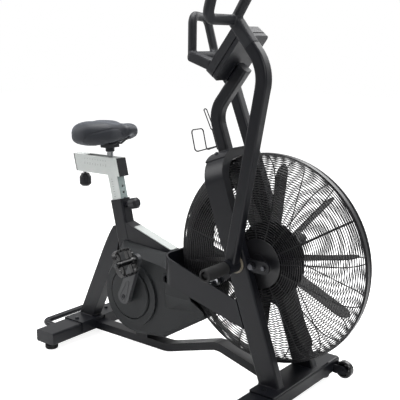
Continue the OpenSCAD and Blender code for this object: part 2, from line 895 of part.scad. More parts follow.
// Right crank arm with its pedal spindle, pointing up along local z
module crank_arm() {
  difference() {
    union() {
      side_slab(-crank_out, -crank_in) {
        circle(29);
        translate([0, crank_len]) circle(20);
        polygon([[-28, 0], [-19.5, crank_len], [19.5, crank_len], [28, 0]]);
      }
      translate([0, -crank_in, crank_len]) rotate([90, 0, 0])
        cylinder(d = pedal_d, h = crank_t + pedal_w + 6);
    }
    rotate([90, 0, 0]) cylinder(d = spindle_d + 0.04, h = 2 * crank_in + 16.1, center = true);
  }
}
module crank_right() { color(dark) crank_frame(crank_lean) crank_arm(); }
module crank_left() { color(dark) crank_frame(crank_lean + 180) mirror([0, 1, 0]) crank_arm(); }

disc_in = cover_half + 5;
module crank_discs() {
  color(dark) crank_frame(0) both_sides() translate([0, -disc_in, 0]) rotate([90, 0, 0]) difference() {
    union() {
      cylinder(r = crank_disc_r, h = 6);
      translate([0, 0, 6]) cylinder(r1 = crank_disc_r, r2 = crank_disc_r - 4, h = 4);
      cylinder(d = 56, h = crank_in - disc_in);
    }
    translate([0, 0, -1]) cylinder(d = spindle_d + 0.04, h = 50);
  }
}

pedal_in = crank_out + 4;
pedal_l = 108;
pedal_h = 28;
module pedal_form() {
  bar = 9;
  difference() {
    union() {
      rotate([90, 0, 0]) translate([0, 0, pedal_in]) cylinder(d = 28, h = pedal_w);
      for (y = [pedal_in, pedal_in + pedal_w - bar]) translate([0, -y - bar, 0]) rotate([-90, 0, 0])
        linear_extrude(bar) round_rect(pedal_l - 14, pedal_h, 8);
      for (s = [-1, 1]) translate([s * (pedal_l / 2 - 8), -pedal_in - pedal_w / 2, 0]) {
        cube([10, pedal_w - 4, pedal_h - 6], center = true);
        for (i = [-2:2]) translate([0, i * 17, 0]) cube([13, 6, pedal_h], center = true);
      }
      translate([0, -pedal_in - pedal_w / 2, 0]) cube([pedal_l - 20, 10, pedal_h - 10], center = true);
    }
    rotate([90, 0, 0]) translate([0, 0, crank_in])
      cylinder(d = pedal_d + 2 * run_gap, h = crank_t + pedal_w + 6.2);
  }
}
module pedal_place(a) {
  crank_frame(a) translate([0, 0, crank_len]) rotate([0, 65 - a, 0]) children();
}
module pedal_right() { color(rubber) pedal_place(crank_lean) pedal_form(); }
module pedal_left() { color(rubber) pedal_place(crank_lean + 180) mirror([0, 1, 0]) pedal_form(); }

// Arm pivots
module pivot_bearings() {
  color("#b8ab8a") both_sides() pivot_frame() rotate([90, 0, 0]) difference() {
    union() {
      translate([0, 0, leg_in]) cylinder(d = bearing_d - 0.04, h = leg_t + 1);
      translate([0, 0, leg_out]) cylinder(d = bearing_d + 10, h = flange_t);
    }
    translate([0, 0, leg_in - 1]) cylinder(d = shaft_d + 2 * run_gap, h = leg_t + 20);
  }
}

// Right arm about its pivot: sleeve, square tube with one bend, shaft and rocker
rocker_t = 6;
pin_d = 12;
arm_t = 40;

// Path of the arm tube with the given section, from height z0 up to the handle seam
module arm_run(w, t, r, z0, reach) {
  rotate([0, arm_lean, 0]) {
    translate([0, 0, z0]) linear_extrude(arm_len + 1 - z0) round_rect(w, t, r);
    translate([-bend_r, 0, arm_len]) rotate([90, 0, 0]) rotate_extrude(angle = arm_bend)
      translate([bend_r, 0]) round_rect(w + 2 * bar_swell, t + 2 * bar_swell, r + bar_swell);
  }
  translate(bend_end) rotate([0, stem_lean, 0]) translate([0, 0, -1])
    linear_extrude(seam_up + 1 + reach) round_rect(w, t, r);
}
module arm_form() {
  difference() {
    union() {
      rotate([90, 0, 0]) translate([0, 0, sleeve_in]) cylinder(d = 50, h = sleeve_out - sleeve_in);
      translate([0, -arm_y, 0]) arm_run(arm_w, arm_t, 8, 10, 0);
    }
    translate([0, -arm_y, 0]) arm_run(arm_w - 2 * wall, arm_t - 2 * wall, 5, 27, 1);
    rotate([90, 0, 0]) translate([0, 0, sleeve_in - 1])
      cylinder(d = 44, h = sleeve_out - sleeve_in + 2);
  }
  rotate([90, 0, 0]) {
    translate([0, 0, rocker_in]) cylinder(d = shaft_d, h = sleeve_out - rocker_in);
    translate([0, 0, sleeve_in]) cylinder(d = 44.5, h = 12);
    translate([0, 0, sleeve_out - 12]) cylinder(d = 44.5, h = 12);
  }
  reach = norm(rocker_end);
  side_slab(-rocker_in - rocker_t, -rocker_in) {
    circle(22);
    translate([rocker_end[0], rocker_end[2]]) circle(16);
    rotate(atan2(rocker_end[2], rocker_end[0])) polygon([[0, -20], [0, 20], [reach, 15], [reach, -15]]);
  }
  translate([rocker_end[0], -rocker_in - 1, rocker_end[2]]) rotate([90, 0, 0])
    cylinder(d = pin_d, h = rod_y - rocker_in + 9);
}
module left_arm_place() {
  pivot_frame() rotate([0, -arm_swing, 0]) mirror([0, 1, 0]) children();
}
module arm_right() { color(black) pivot_frame() arm_form(); }
module arm_left() { color(black) left_arm_place() arm_form(); }

// Handle: stem that goes on from the arm bend, with a closed grip loop
module handle_form() {
  root = loop_root + [0, -arm_y, 0];
  out = root + [0, -loop_w, 0];
  translate(arm_end + [0, -arm_y, 0]) rotate([0, stem_lean, 0]) {
    linear_extrude(2) round_rect(arm_w - 3, arm_t - 3, 6.5);
    translate([0, 0, 1.6]) linear_extrude(stem_len + grip_d / 2 - 0.6) round_rect(arm_w, arm_t, 8);
  }
  outer = out + loop_h * lean(outer_lean);
  inner = root + loop_h * lean(inner_lean);
  bent_bar([root + [0, 12, 0], out, outer, inner, root], grip_d / 2, 30);
}
module handle_right() { color(dark) pivot_frame() handle_form(); }
module handle_left() { color(dark) left_arm_place() handle_form(); }

module peg_form() {
  rotate([90, 0, 0]) translate([0, 0, sleeve_out]) difference() {
    rotate_extrude()
      polygon([[0, 0], [21, 0], [22, 2], [22, peg_len - 3], [19, peg_len], [0, peg_len]]);
    translate([0, 0, peg_len - 14]) cylinder(d = 28, h = 15);
  }
  rotate([90, 0, 0]) translate([0, 0, sleeve_out + peg_len - 14.5]) cylinder(d = 20, h = 8, $fn = 6);
}
module peg_right() { color(rubber) pivot_frame() peg_form(); }
module peg_left() { color(rubber) left_arm_place() peg_form(); }

// Push rod from a rocker pin back into the drive cover
rod_d = 16;
rod_eye = 30;
rod_reach = [-400, 0, -95];
rod_ratio = 1.18;
module rod_form() {
  mid = 0.47 * rod_reach;
  jog = 0.66 * rod_reach;
  near = [0, -rod_y, 0];
  far = [0, -54, 0];
  translate(near) rotate([90, 0, 0]) difference() {
    cylinder(d = rod_eye, h = 14, center = true);
    cylinder(d = pin_d + 2 * run_gap, h = 20, center = true);
  }
  difference() {
    bent_bar([near, mid + near, jog + far, rod_reach + far], rod_d / 2, 40);
    translate(near) rotate([90, 0, 0]) cylinder(d = rod_eye - 2, h = 40, center = true);
  }
  translate(rod_reach + far) rotate([90, 0, 0]) difference() {
    cylinder(d = rod_eye, h = 14, center = true);
    cylinder(d = pin_d, h = 20, center = true);
  }
}
module rod_right() { color(steel) pivot_frame() translate(rocker_end) rod_form(); }
module rod_left() {
  color(steel) left_arm_place() translate(rocker_end) rotate([0, rod_ratio * arm_swing, 0]) rod_form();
}

// Seat post and saddle slide
post_low = 195;
hole_pitch = 25;
module seat_post() {
  color(silver) difference() {
    seat_frame() translate([0, 0, -post_low]) linear_extrude(post_low + post_out + 40) difference() {
      round_rect(post_w, post_t, 4);
      round_rect(post_w - 5, post_t - 5, 1.5);
    }
    seat_frame() for (i = [-6:3])
      translate([post_w / 2 - 8, 0, i * hole_pitch - 26]) rotate([0, 90, 0]) cylinder(d = 10, h = 16);
    translate([-1200, -100, slide_z]) cube([1200, 200, 300]);
  }
}

// Length of the slide from x0 to x1, with ends that lean like the post
module slide_side(x0, x1) {
  skew = slide_h * tan(seat_lean);
  top = slide_z + slide_h;
  polygon([[x0, slide_z], [x1, slide_z], [x1 - skew, top], [x0 - skew, top]]);
}
slot_x0 = saddle_x - 127;
module saddle_slide() {
  color(silver) difference() {
    side_slab(-slide_t / 2, slide_t / 2) slide_side(slide_front - slide_len, slide_front);
    translate([slide_front - slide_len - 60, -slide_t / 2 + wall, slide_z + wall])
      cube([slide_len + 80, slide_t - 2 * wall, slide_h - 2 * wall]);
    translate([slot_x0, -15, slide_z + slide_h - 10]) cube([saddle_x + 15 - slot_x0, 30, 20]);
    translate([knob_x, 0, slide_z - 1]) cylinder(d = 10 + 2 * run_gap, h = 5);
  }
}
module slide_caps() {
  color(rubber) for (x = [slide_front, slide_front - slide_len - 5])
    side_slab(-slide_t / 2, slide_t / 2) slide_side(x, x + 5);
}

carriage_gap = 0.4;
module saddle_carriage() {
  z0 = slide_z + wall + carriage_gap;
  color(steel) {
    translate([saddle_x - 40, -slide_t / 2 + wall + carriage_gap, z0])
      cube([62, slide_t - 2 * wall - 2 * carriage_gap, slide_h - 2 * wall - 2 * carriage_gap]);
    translate([saddle_x, 0, z0 + 20]) cylinder(d = 25, h = clamp_z - z0 - 20);
  }
}

rail_y = 22;
pan_t = 8;
pan_lean = 9;
pan_z = clamp_z + 28;
function pan_under(x) = pan_z + x * tan(pan_lean);
module pan_outline(grow) {
  tip = 11 + grow;
  side = 46 + grow;
  translate([-68, 0]) round_rect(90 + 2 * grow, saddle_w - 96 + 2 * grow, 40 + grow);
  polygon([[-40, -side], [-40, side], [104 + grow, tip], [104 + grow, -tip]]);
}
module pan_place() {
  translate([saddle_x, 0, pan_z]) rotate([0, -pan_lean, 0]) children();
}
module saddle_clamp() {
  z = clamp_z;
  color(black) {
    difference() {
      translate([saddle_x, 0, z]) {
        translate([0, 0, -18]) cylinder(d = 36, h = 20);
        translate([-23, -rail_y - 8, -2]) cube([46, 2 * rail_y + 16, 24]);
      }
      translate([saddle_x, 0, z - 30]) cylinder(d = 25.04, h = 30);
    }
    for (s = [-1, 1]) bent_bar([
      [saddle_x - 86, s * 38, pan_under(-86) + 1], [saddle_x - 48, s * rail_y, z + 14],
      [saddle_x + 42, s * rail_y, z + 15], [saddle_x + 94, s * 8, pan_under(94) + 1]
    ], 3.5, 14);
    pan_place() linear_extrude(pan_t) pan_outline(0);
  }
}

// Saddle cushion: two rear lobes and a broad nose, with a pocket below for the pan
module oval(p, r) {
  translate([saddle_x, 0, pan_z] + p) scale(r) sphere(1, $fn = 28);
}
module saddle_pad() {
  rear = -saddle_l / 2 + 62;
  nose = saddle_l / 2;
  lobe = saddle_w / 4 + 3;
  color(rubber) difference() {
    union() {
      hull() {
        for (s = [-1, 1]) oval([rear, s * lobe, 32], [62, saddle_w / 2 - lobe, 47]);
        oval([5, 0, 44], [52, 46, 36]);
      }
      hull() {
        oval([-20, 0, 42], [55, 48, 38]);
        oval([nose - 28, 0, 53], [28, 27, 26]);
      }
    }
    pan_place() translate([0, 0, pan_t - 60]) linear_extrude(60) pan_outline(0.4);
  }
}

// Knobs
module knob_form(d, h) {
  difference() {
    union() {
      cylinder(d1 = 0.66 * d, d2 = d - 3.6, h = 0.3 * h + 0.1);
      translate([0, 0, 0.3 * h]) cylinder(d = d, h = 0.7 * h);
    }
    for (a = [0:45:359]) rotate(a) translate([d / 2 + 3.4, 0, 0.3 * h - 1]) cylinder(r = 5, h = h);
  }
  translate([0, 0, h - 0.1]) cylinder(d1 = d - 3.6, d2 = d - 17, h = 8);
}
module height_knob() {
  color(rubber) seat_frame() translate([seat_tube_w / 2 - 5.6, 0, -26]) rotate([0, 90, 0]) {
    cylinder(d = 11.8, h = 14);
    translate([0, 0, 5.8]) cylinder(d = 24, h = 14);
    translate([0, 0, 19]) knob_form(44, 40);
  }
}
knob_x = slide_front - slide_len + 20;
module slide_knob() {
  color(rubber) translate([knob_x, 0, slide_z]) mirror([0, 0, 1]) {
    translate([0, 0, -wall]) cylinder(d = 10, h = 16 + wall);
    translate([0, 0, 12]) knob_form(48, 44);
  }
}

// Moves a drawn piece so that the origin is on the floor under the middle
module place() {
  translate([-middle_x, 0, 0]) children();
}

place() rear_tube();
place() tube_caps();
place() rear_saddle();
place() lift_handle();
place() feet();
place() base_beam();
place() front_tube();
place() front_plate();
place() fork_legs();
place() fork_arch();
place() mast_saddle();
place() mast();
place() mast_cap();
place() console_front();
place() console_back();
place() console_screen();
place() bottle_cage();
place() seat_tube();
place() rear_stay();
place() top_tube();
place() top_trim();
place() side_stay();
place() cover_right();
place() cover_left();
place() crank_post();
place() pivot_bearings();
place() guard_right();
place() guard_left();
place() guard_ribs();
place() guard_rim();
place() wind_shroud();
place() hub_plates();
place() fan_axle();
place() frame_bolts();
place() fan_wheel();
place() crank_spindle();
place() crank_right();
place() crank_left();
place() crank_discs();
place() pedal_right();
place() pedal_left();
place() arm_right();
place() arm_left();
place() handle_right();
place() handle_left();
place() peg_right();
place() peg_left();
place() rod_right();
place() rod_left();
place() seat_post();
place() saddle_slide();
place() slide_caps();
place() saddle_carriage();
place() saddle_clamp();
place() saddle_pad();
place() height_knob();
place() slide_knob();
place() wheel_right();
place() wheel_left();
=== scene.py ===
"""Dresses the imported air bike: finishes for every solid, the padded saddle, small fittings and a pale studio."""

import json
import math

import bmesh
import bpy
from mathutils import Matrix, Vector
from mathutils.kdtree import KDTree


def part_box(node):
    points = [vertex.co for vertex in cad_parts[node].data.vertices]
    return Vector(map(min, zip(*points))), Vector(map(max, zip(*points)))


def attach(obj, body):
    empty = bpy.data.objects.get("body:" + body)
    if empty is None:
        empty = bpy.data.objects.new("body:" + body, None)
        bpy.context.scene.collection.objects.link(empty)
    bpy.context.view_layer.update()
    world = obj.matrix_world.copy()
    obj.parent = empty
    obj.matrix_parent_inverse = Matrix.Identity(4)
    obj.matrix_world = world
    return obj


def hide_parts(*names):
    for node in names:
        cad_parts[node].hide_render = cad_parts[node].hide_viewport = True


bl_info = {
    "name": "Air bike dressing",
    "version": (1, 0, 0),
    "blender": (4, 5, 0),
    "location": "View3D > Sidebar > Air bike",
    "description": "Finishes, saddle, fittings and studio for a fan exercise bike",
    "category": "Object",
}

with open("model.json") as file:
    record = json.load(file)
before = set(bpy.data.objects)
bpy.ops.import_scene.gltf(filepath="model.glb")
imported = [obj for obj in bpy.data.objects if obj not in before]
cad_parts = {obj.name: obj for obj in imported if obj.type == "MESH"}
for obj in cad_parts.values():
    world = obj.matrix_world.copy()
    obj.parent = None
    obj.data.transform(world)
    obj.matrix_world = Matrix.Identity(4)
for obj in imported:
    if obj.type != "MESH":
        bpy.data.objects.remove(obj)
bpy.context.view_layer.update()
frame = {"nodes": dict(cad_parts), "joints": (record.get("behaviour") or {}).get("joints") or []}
NODES = frame["nodes"]
JOINTS = {joint["name"]: joint for joint in frame["joints"]}
MM = 0.001
EAST, NORTH, UP = Vector((1, 0, 0)), Vector((0, 1, 0)), Vector((0, 0, 1))


def pivot(name):
    """Place of a joint in metres, as a new vector."""
    return Vector(JOINTS[name]["pos_m"])


AXLE = pivot("fan_spin")
CRANK = pivot("crank_spin")


def at(x, y, z):
    """Point in metres from millimetres measured forwards from the fan axle, to the left, and up from the floor."""
    return Vector((AXLE.x + x * MM, y * MM, z * MM))


# Properties


def linear(code):
    """sRGB hex colour as linear red, green and blue."""
    channels = [int(code[i : i + 2], 16) / 255 for i in (1, 3, 5)]
    return tuple(c / 12.92 if c <= 0.04045 else ((c + 0.055) / 1.055) ** 2.4 for c in channels)


def colour(name, code, description):
    """Property for a colour that is given as sRGB hex."""
    return bpy.props.FloatVectorProperty(
        name=name, description=description, subtype="COLOR", size=3, min=0, max=1, default=linear(code)
    )


def length(name, millimetres, description):
    """Property for a length that is given in millimetres."""
    return bpy.props.FloatProperty(
        name=name, description=description, subtype="DISTANCE", unit="LENGTH", min=0, default=millimetres * MM
    )


class BikeColours(bpy.types.PropertyGroup):
    frame: colour("Frame", "#101116", "Powder coat on the steel frame")
    cover: colour("Covers", "#1c1e20", "Moulded drive covers")
    console: colour("Console", "#1b1c20", "Moulded console front")
    wire: colour("Cage wire", "#1a1a1d", "Coated wires of the fan cage")
    crank: colour("Cranks", "#3a3b3d", "Lacquered crank arms")
    fan: colour("Fan", "#0d0d0f", "Coated fan blades")
    silver: colour("Silver", "#cbcfcd", "Anodised seat post and saddle slide")
    # Painted shade: the strip is this darker copy of the silver, because the top lamp lights its upturned face
    # hardest.
    strip: colour("Strip", "#b2b6b4", "Brushed strip on the top of the drive cover")
    # Painted shade: the forward face of the seat post is drawn in this darker, greener colour than its sides.
    front: colour("Post front", "#8d9a99", "Front face of the seat post")
    steel: colour("Steel", "#a9abad", "Plated rods, spindle and saddle carriage")
    bolt: colour("Bolts", "#55565a", "Blackened bolts and axle")
    rubber: colour("Rubber", "#101011", "Feet and pegs")
    plastic: colour("Plastic", "#14151a", "Caps and knobs")
    pedal: colour("Pedals", "#08080a", "Pedals and transport wheels")
    grip: colour("Grips", "#1c1d21", "Sleeves on the grip loops")
    vinyl: colour("Saddle", "#1b1e25", "Saddle cover")
    seal: colour("Seals", "#6e675a", "Bearing seals")
    screen: colour("Display", "#0e1317", "Console window")
    mark: colour("Marks", "#74777a", "Printed ticks of the seat scales")
    thread: colour("Thread", "#26262a", "Stitches on the saddle")
    sheen: colour("Saddle sheen", "#b9c4d6", "Tint of the saddle cover where it is seen at a slant")


class BikeSizes(bpy.types.PropertyGroup):
    voxel: length("Saddle voxel", 5, "Cell size of the saddle before it is filled")
    swell: length("Saddle swell", 5, "Furthest that the filling may push the saddle cover")
    stitch: length("Stitch", 4, "Length of a stitch on the saddle")
    weld: length("Handle weld", 2.5, "Cell size at which the stem and the grip loop are joined")
    bead: length("Weld bead", 2.2, "Radius of the weld beads")
    tick: length("Scale tick", 1.4, "Width of a mark on the seat scales")
    lens: bpy.props.FloatProperty(name="Lens", description="Camera focal length", unit="CAMERA", default=67.2)


def colours():
    """Colours of the open scene."""
    return bpy.context.scene.bike_colours


def sizes():
    """Sizes of the open scene."""
    return bpy.context.scene.bike_sizes


# Materials

# Noise lies mostly between these values, so each colour ramp runs from one to the other.
NOISE_SPAN = (0.3, 0.7)
# The sockets of a colour mix share their names, so they are picked by place.
MIX_FACTOR, MIX_A, MIX_B, MIX_RESULT = 0, 6, 7, 2
PATCH_MM = 90
BRUSH_LINE_MM = 0.6
BRUSH_STRETCH = 0.02
VINYL_CELL_MM = 1.8
VINYL_PATCH_MM = 120


def add(tree, kind, inputs=(), **settings):
    """Adds a shader node with its settings, and values or links for its sockets."""
    node = tree.nodes.new(kind)
    for key, value in settings.items():
        setattr(node, key, value)
    for socket, value in dict(inputs).items():
        if isinstance(value, bpy.types.NodeSocket):
            tree.links.new(value, node.inputs[socket])
        else:
            node.inputs[socket].default_value = value
    return node


def blank(name):
    """Empty node material with its output."""
    material = bpy.data.materials.new(name)
    material.use_nodes = True
    material.node_tree.nodes.clear()
    return material, material.node_tree, add(material.node_tree, "ShaderNodeOutputMaterial")


def shade(rgb, factor):
    """Linear colour made darker or lighter, with full alpha."""
    return tuple(min(1, c * factor) for c in rgb) + (1,)


def grained(name, rgb, rough, grain_mm, depth_mm, spread=0.16, metallic=0.0, specular=0.5):
    """Surface with a fine grain in bump and roughness, and a slow drift in colour."""
    material, tree, out = blank(name)
    place = add(tree, "ShaderNodeTexCoord").outputs["Object"]
    noise = add(tree, "ShaderNodeTexNoise", {"Vector": place, "Scale": 1000 / grain_mm, "Detail": 3.0})
    fine = noise.outputs["Fac"]
    slow = add(tree, "ShaderNodeTexNoise", {"Vector": place, "Scale": 1000 / PATCH_MM, "Detail": 4.0})
    tint = add(tree, "ShaderNodeValToRGB", {"Fac": slow.outputs["Fac"]})
    for stop, position, factor in zip(tint.color_ramp.elements, NOISE_SPAN, (1 - spread, 1 + spread)):
        stop.position, stop.color = position, shade(rgb, factor)
    gloss = add(tree, "ShaderNodeMapRange", {"Value": fine, "To Min": rough - 0.06, "To Max": rough + 0.06})
    bump = add(tree, "ShaderNodeBump", {"Height": fine, "Strength": 0.35, "Distance": depth_mm * MM})
    skin = add(tree, "ShaderNodeBsdfPrincipled", {
        "Base Color": tint.outputs["Color"],
        "Roughness": gloss.outputs["Result"],
        "Normal": bump.outputs["Normal"],
        "Metallic": metallic,
        "Specular IOR Level": specular,
    })
    tree.links.new(skin.outputs["BSDF"], out.inputs["Surface"])
    return material


def brushed(name, rgb, rough, axis, front=None):
    """Anodised metal with long fine lines along one axis, and if asked painted shade on the forward face: another
    colour where the face points forwards.
    """
    material, tree, out = blank(name)
    place = add(tree, "ShaderNodeTexCoord").outputs["Object"]
    stretch = [1.0, 1.0, 1.0]
    stretch[axis] = BRUSH_STRETCH
    drawn = add(tree, "ShaderNodeMapping", {"Vector": place, "Scale": stretch}).outputs["Vector"]
    noise = add(tree, "ShaderNodeTexNoise", {"Vector": drawn, "Scale": 1000 / BRUSH_LINE_MM, "Detail": 2.0})
    lines = noise.outputs["Fac"]
    tint = add(tree, "ShaderNodeValToRGB", {"Fac": lines})
    for stop, position, factor in zip(tint.color_ramp.elements, NOISE_SPAN, (0.9, 1.04)):
        stop.position, stop.color = position, shade(rgb, factor)
    base = tint.outputs["Color"]
    if front:
        # Painted shade: faces that point forwards blend into the given front colour.
        normal = add(tree, "ShaderNodeNewGeometry").outputs["Normal"]
        ahead = add(tree, "ShaderNodeVectorMath", {0: normal, 1: EAST}, operation="DOT_PRODUCT").outputs["Value"]
        front_shade_mask = add(tree, "ShaderNodeMapRange", {"Value": ahead, "From Min": 0.6, "From Max": 0.8})
        front_shaded_base = add(tree, "ShaderNodeMix", data_type="RGBA", inputs={
            MIX_FACTOR: front_shade_mask.outputs["Result"], MIX_A: base, MIX_B: shade(front, 1),
        })
        base = front_shaded_base.outputs[MIX_RESULT]
    gloss = add(tree, "ShaderNodeMapRange", {"Value": lines, "To Min": rough - 0.06, "To Max": rough + 0.08})
    bump = add(tree, "ShaderNodeBump", {"Height": lines, "Strength": 0.15, "Distance": 0.05 * MM})
    skin = add(tree, "ShaderNodeBsdfPrincipled", {
        "Base Color": base,
        "Roughness": gloss.outputs["Result"],
        "Normal": bump.outputs["Normal"],
        # The oxide layer lies over the metal and hides most of its mirror.
        "Metallic": 0.3,
    })
    tree.links.new(skin.outputs["BSDF"], out.inputs["Surface"])
    return material


def soft_vinyl(name, rgb, sheen):
    """Saddle vinyl: a shallow leather grain whose creases are darkened as painted shade, and a soft cool sheen."""
    material, tree, out = blank(name)
    place = add(tree, "ShaderNodeTexCoord").outputs["Object"]
    # The real grain is about 1 mm: drawn larger so that it shows.
    cells = add(tree, "ShaderNodeTexVoronoi", feature="DISTANCE_TO_EDGE", inputs={
        "Vector": place, "Scale": 1000 / VINYL_CELL_MM,
    })
    noise = add(tree, "ShaderNodeTexNoise", {"Vector": place, "Scale": 1000 / VINYL_PATCH_MM, "Detail": 3.0})
    slow = noise.outputs["Fac"]
    height = add(tree, "ShaderNodeMapRange", {"Value": cells.outputs["Distance"], "From Max": 0.3}).outputs["Result"]
    tint = add(tree, "ShaderNodeValToRGB", {"Fac": slow})
    for stop, position, factor in zip(tint.color_ramp.elements, NOISE_SPAN, (0.92, 1.08)):
        stop.position, stop.color = position, shade(rgb, factor)
    # Painted shade: the cell edges of the grain are darkened to three quarters of the colour.
    painted_crease_shade = add(tree, "ShaderNodeMix", data_type="RGBA", inputs={
        MIX_FACTOR: height, MIX_A: shade(rgb, 0.75), MIX_B: tint.outputs["Color"],
    })
    gloss = add(tree, "ShaderNodeMapRange", {"Value": slow, "To Min": 0.5, "To Max": 0.62})
    bump = add(tree, "ShaderNodeBump", {"Height": height, "Strength": 0.2, "Distance": 0.15 * MM})
    skin = add(tree, "ShaderNodeBsdfPrincipled", {
        "Base Color": painted_crease_shade.outputs[MIX_RESULT],
        "Roughness": gloss.outputs["Result"],
        "Normal": bump.outputs["Normal"],
        "Sheen Weight": 0.2,
        "Sheen Roughness": 0.45,
        "Sheen Tint": shade(sheen, 1),
    })
    tree.links.new(skin.outputs["BSDF"], out.inputs["Surface"])
    return material


MADE = {}


def finishes():
    """All finishes by a short name, made once."""
    if not MADE:
        c = colours()
        # Polyester powder baked on steel: satin black, its orange peel drawn at 2 mm so that it shows.
        MADE["coat"] = grained("satin_powder_coat", c.frame, 0.36, 2.0, 0.1, specular=0.3)
        # Moulded ABS with a fine spark-eroded grain that dulls highlights.
        MADE["cover"] = grained("grained_abs", c.cover, 0.48, 1.4, 0.12, spread=0.08, specular=0.3)
        # The same plastic from a smoother mould.
        MADE["console"] = grained("satin_abs", c.console, 0.42, 1.4, 0.06, spread=0.06, specular=0.35)
        # Dipped wire: smooth plastic skin with small highlights along each ring.
        MADE["wire"] = grained("dipped_wire", c.wire, 0.36, 3.0, 0.05)
        # Coated aluminium sheet: even, slightly dusty black.
        MADE["fan"] = grained("coated_sheet_aluminium", c.fan, 0.5, 2.5, 0.06, spread=0.25, specular=0.26)
        # Anodised aluminium: pale silver with long drawn lines, along X or along Z.
        MADE["silver_x"] = brushed("anodised_aluminium_level", c.silver, 0.4, 0)
        # The upright extrusion carries painted shade: its forward face takes the darker, greener post front colour.
        MADE["silver_z"] = brushed("anodised_aluminium_upright_painted_front_shade", c.silver, 0.4, 2, front=c.front)
        # Brushed strip: duller and cooler than the extrusions, and a darker copy of their silver as painted shade on
        # its upturned face, which the top lamp lights hardest.
        MADE["strip"] = brushed("brushed_aluminium_strip_painted_shade", c.strip, 0.44, 0)
        # Zinc-plated steel: grey, cloudy and fairly bright.
        MADE["steel"] = grained("zinc_plated_steel", c.steel, 0.3, 6.0, 0.03, metallic=1.0)
        # Blackened steel: dark grey with a dull metal shine.
        MADE["bolt"] = grained("black_zinc_steel", c.bolt, 0.34, 5.0, 0.03, metallic=1.0)
        # Moulded rubber: dull and slightly mottled.
        MADE["rubber"] = grained("moulded_rubber", c.rubber, 0.7, 1.6, 0.15, spread=0.2, specular=0.4)
        # Injection-moulded nylon: dull black with a fine grain.
        MADE["plastic"] = grained("moulded_nylon", c.plastic, 0.44, 1.2, 0.08, specular=0.32)
        # Glass-filled nylon, polished in the mould: black with clear small highlights.
        MADE["pedal"] = grained("glass_filled_nylon", c.pedal, 0.26, 1.4, 0.05)
        # Die-cast aluminium under grey lacquer: lighter than the covers, with a broad soft shine.
        MADE["crank"] = grained("lacquered_cast_aluminium", c.crank, 0.42, 2.2, 0.08, spread=0.08, specular=0.4)
        # Dipped soft PVC sleeve: dull, with a fine pimple.
        MADE["grip"] = grained("soft_pvc", c.grip, 0.52, 1.8, 0.07, specular=0.28)
        # Acetal seal: smooth tan.
        MADE["seal"] = grained("acetal_seal", c.seal, 0.4, 4.0, 0.04)
        # Acrylic window: dark and smooth, with a soft reflection.
        MADE["screen"] = grained("acrylic_window", c.screen, 0.3, 30.0, 0.01, specular=0.22)
        MADE["vinyl"] = soft_vinyl("grained_vinyl_painted_crease_shade", c.vinyl, c.sheen)
        # Printed ink: flat grey.
        MADE["mark"] = grained("printed_mark", c.mark, 0.6, 2.0, 0.02)
        # Twisted nylon thread: near black and dull.
        MADE["thread"] = grained("bonded_nylon_thread", c.thread, 0.6, 0.8, 0.1)
    return MADE


# The nodes of each finish. All others have the powder coat.
FINISH = {
    "cover": "cover_right cover_left crank_discs",
    "crank": "crank_right crank_left",
    "console": "console_front",
    "wire": "guard_right guard_left guard_ribs guard_rim bottle_cage hub_plates",
    "fan": "fan_wheel wind_shroud",
    "silver_x": "saddle_slide",
    "strip": "top_trim",
    "silver_z": "seat_post",
    "steel": "crank_spindle rod_right rod_left saddle_carriage",
    "bolt": "fan_axle frame_bolts",
    "grip": "handle_right handle_left",
    "rubber": "feet peg_right peg_left",
    "pedal": "wheel_right wheel_left",
    # console_back takes the darker plastic as painted shade, for the back of the console that lies in shadow.
    "plastic": "tube_caps slide_caps height_knob slide_knob saddle_clamp mast_cap console_back",
    "seal": "pivot_bearings",
    "screen": "console_screen",
}


# Forms

OUTSIDE = 0.5  # metres from the middle plane, clear of the bike


def dress(piece, finish, body):
    """Gives a new piece its finish and the body it moves with."""
    piece.data.materials.append(finishes()[finish])
    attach(piece, body)
    return piece


def mesh_piece(name, form, finish, body, smooth=False):
    """Object from a bmesh, dressed and riding on a body."""
    mesh = bpy.data.meshes.new(name)
    form.to_mesh(mesh)
    form.free()
    if smooth:
        mesh.shade_smooth()
    piece = bpy.data.objects.new(name, mesh)
    bpy.context.scene.collection.objects.link(piece)
    return dress(piece, finish, body)


def bar_piece(name, paths, radius, finish, body, closed=False):
    """Round bar along each path, as one curve object."""
    curve = bpy.data.curves.new(name, "CURVE")
    curve.dimensions = "3D"
    curve.bevel_depth = radius
    curve.bevel_resolution = 3
    curve.use_fill_caps = True
    for path in paths:
        spline = curve.splines.new("POLY")
        spline.points.add(len(path) - 1)
        spline.use_cyclic_u = closed
        for point, place in zip(spline.points, path):
            point.co = (*place, 1)
    piece = bpy.data.objects.new(name, curve)
    bpy.context.scene.collection.objects.link(piece)
    return dress(piece, finish, body)


def bake(context, piece):
    """Replaces the mesh of a piece by what its modifiers make of it."""
    mesh = bpy.data.meshes.new_from_object(piece.evaluated_get(context.evaluated_depsgraph_get()))
    piece.modifiers.clear()
    piece.data = mesh


def add_voxels(piece, cell):
    """Adds a remesh into cells of one size, which joins what overlaps."""
    remesh = piece.modifiers.new("remesh", "REMESH")
    remesh.mode, remesh.voxel_size = "VOXEL", cell


def add_fairing(piece, rounds):
    """Adds a smoothing of the surface."""
    fair = piece.modifiers.new("fair", "SMOOTH")
    fair.factor, fair.iterations = 0.5, rounds


def angles(count):
    """Angles in equal steps round a circle."""
    return [2 * math.pi * k / count for k in range(count)]


def loft(form, rings, caps=True):
    """Adds a skin over rings of points with equal counts, closed at both ends if asked."""
    rows = [[form.verts.new(p) for p in ring] for ring in rings]
    for a, b in zip(rows, rows[1:]):
        for k in range(len(a)):
            form.faces.new((a[k], a[(k + 1) % len(a)], b[(k + 1) % len(a)], b[k]))
    if caps:
        form.faces.new(list(reversed(rows[0])))
        form.faces.new(rows[-1])


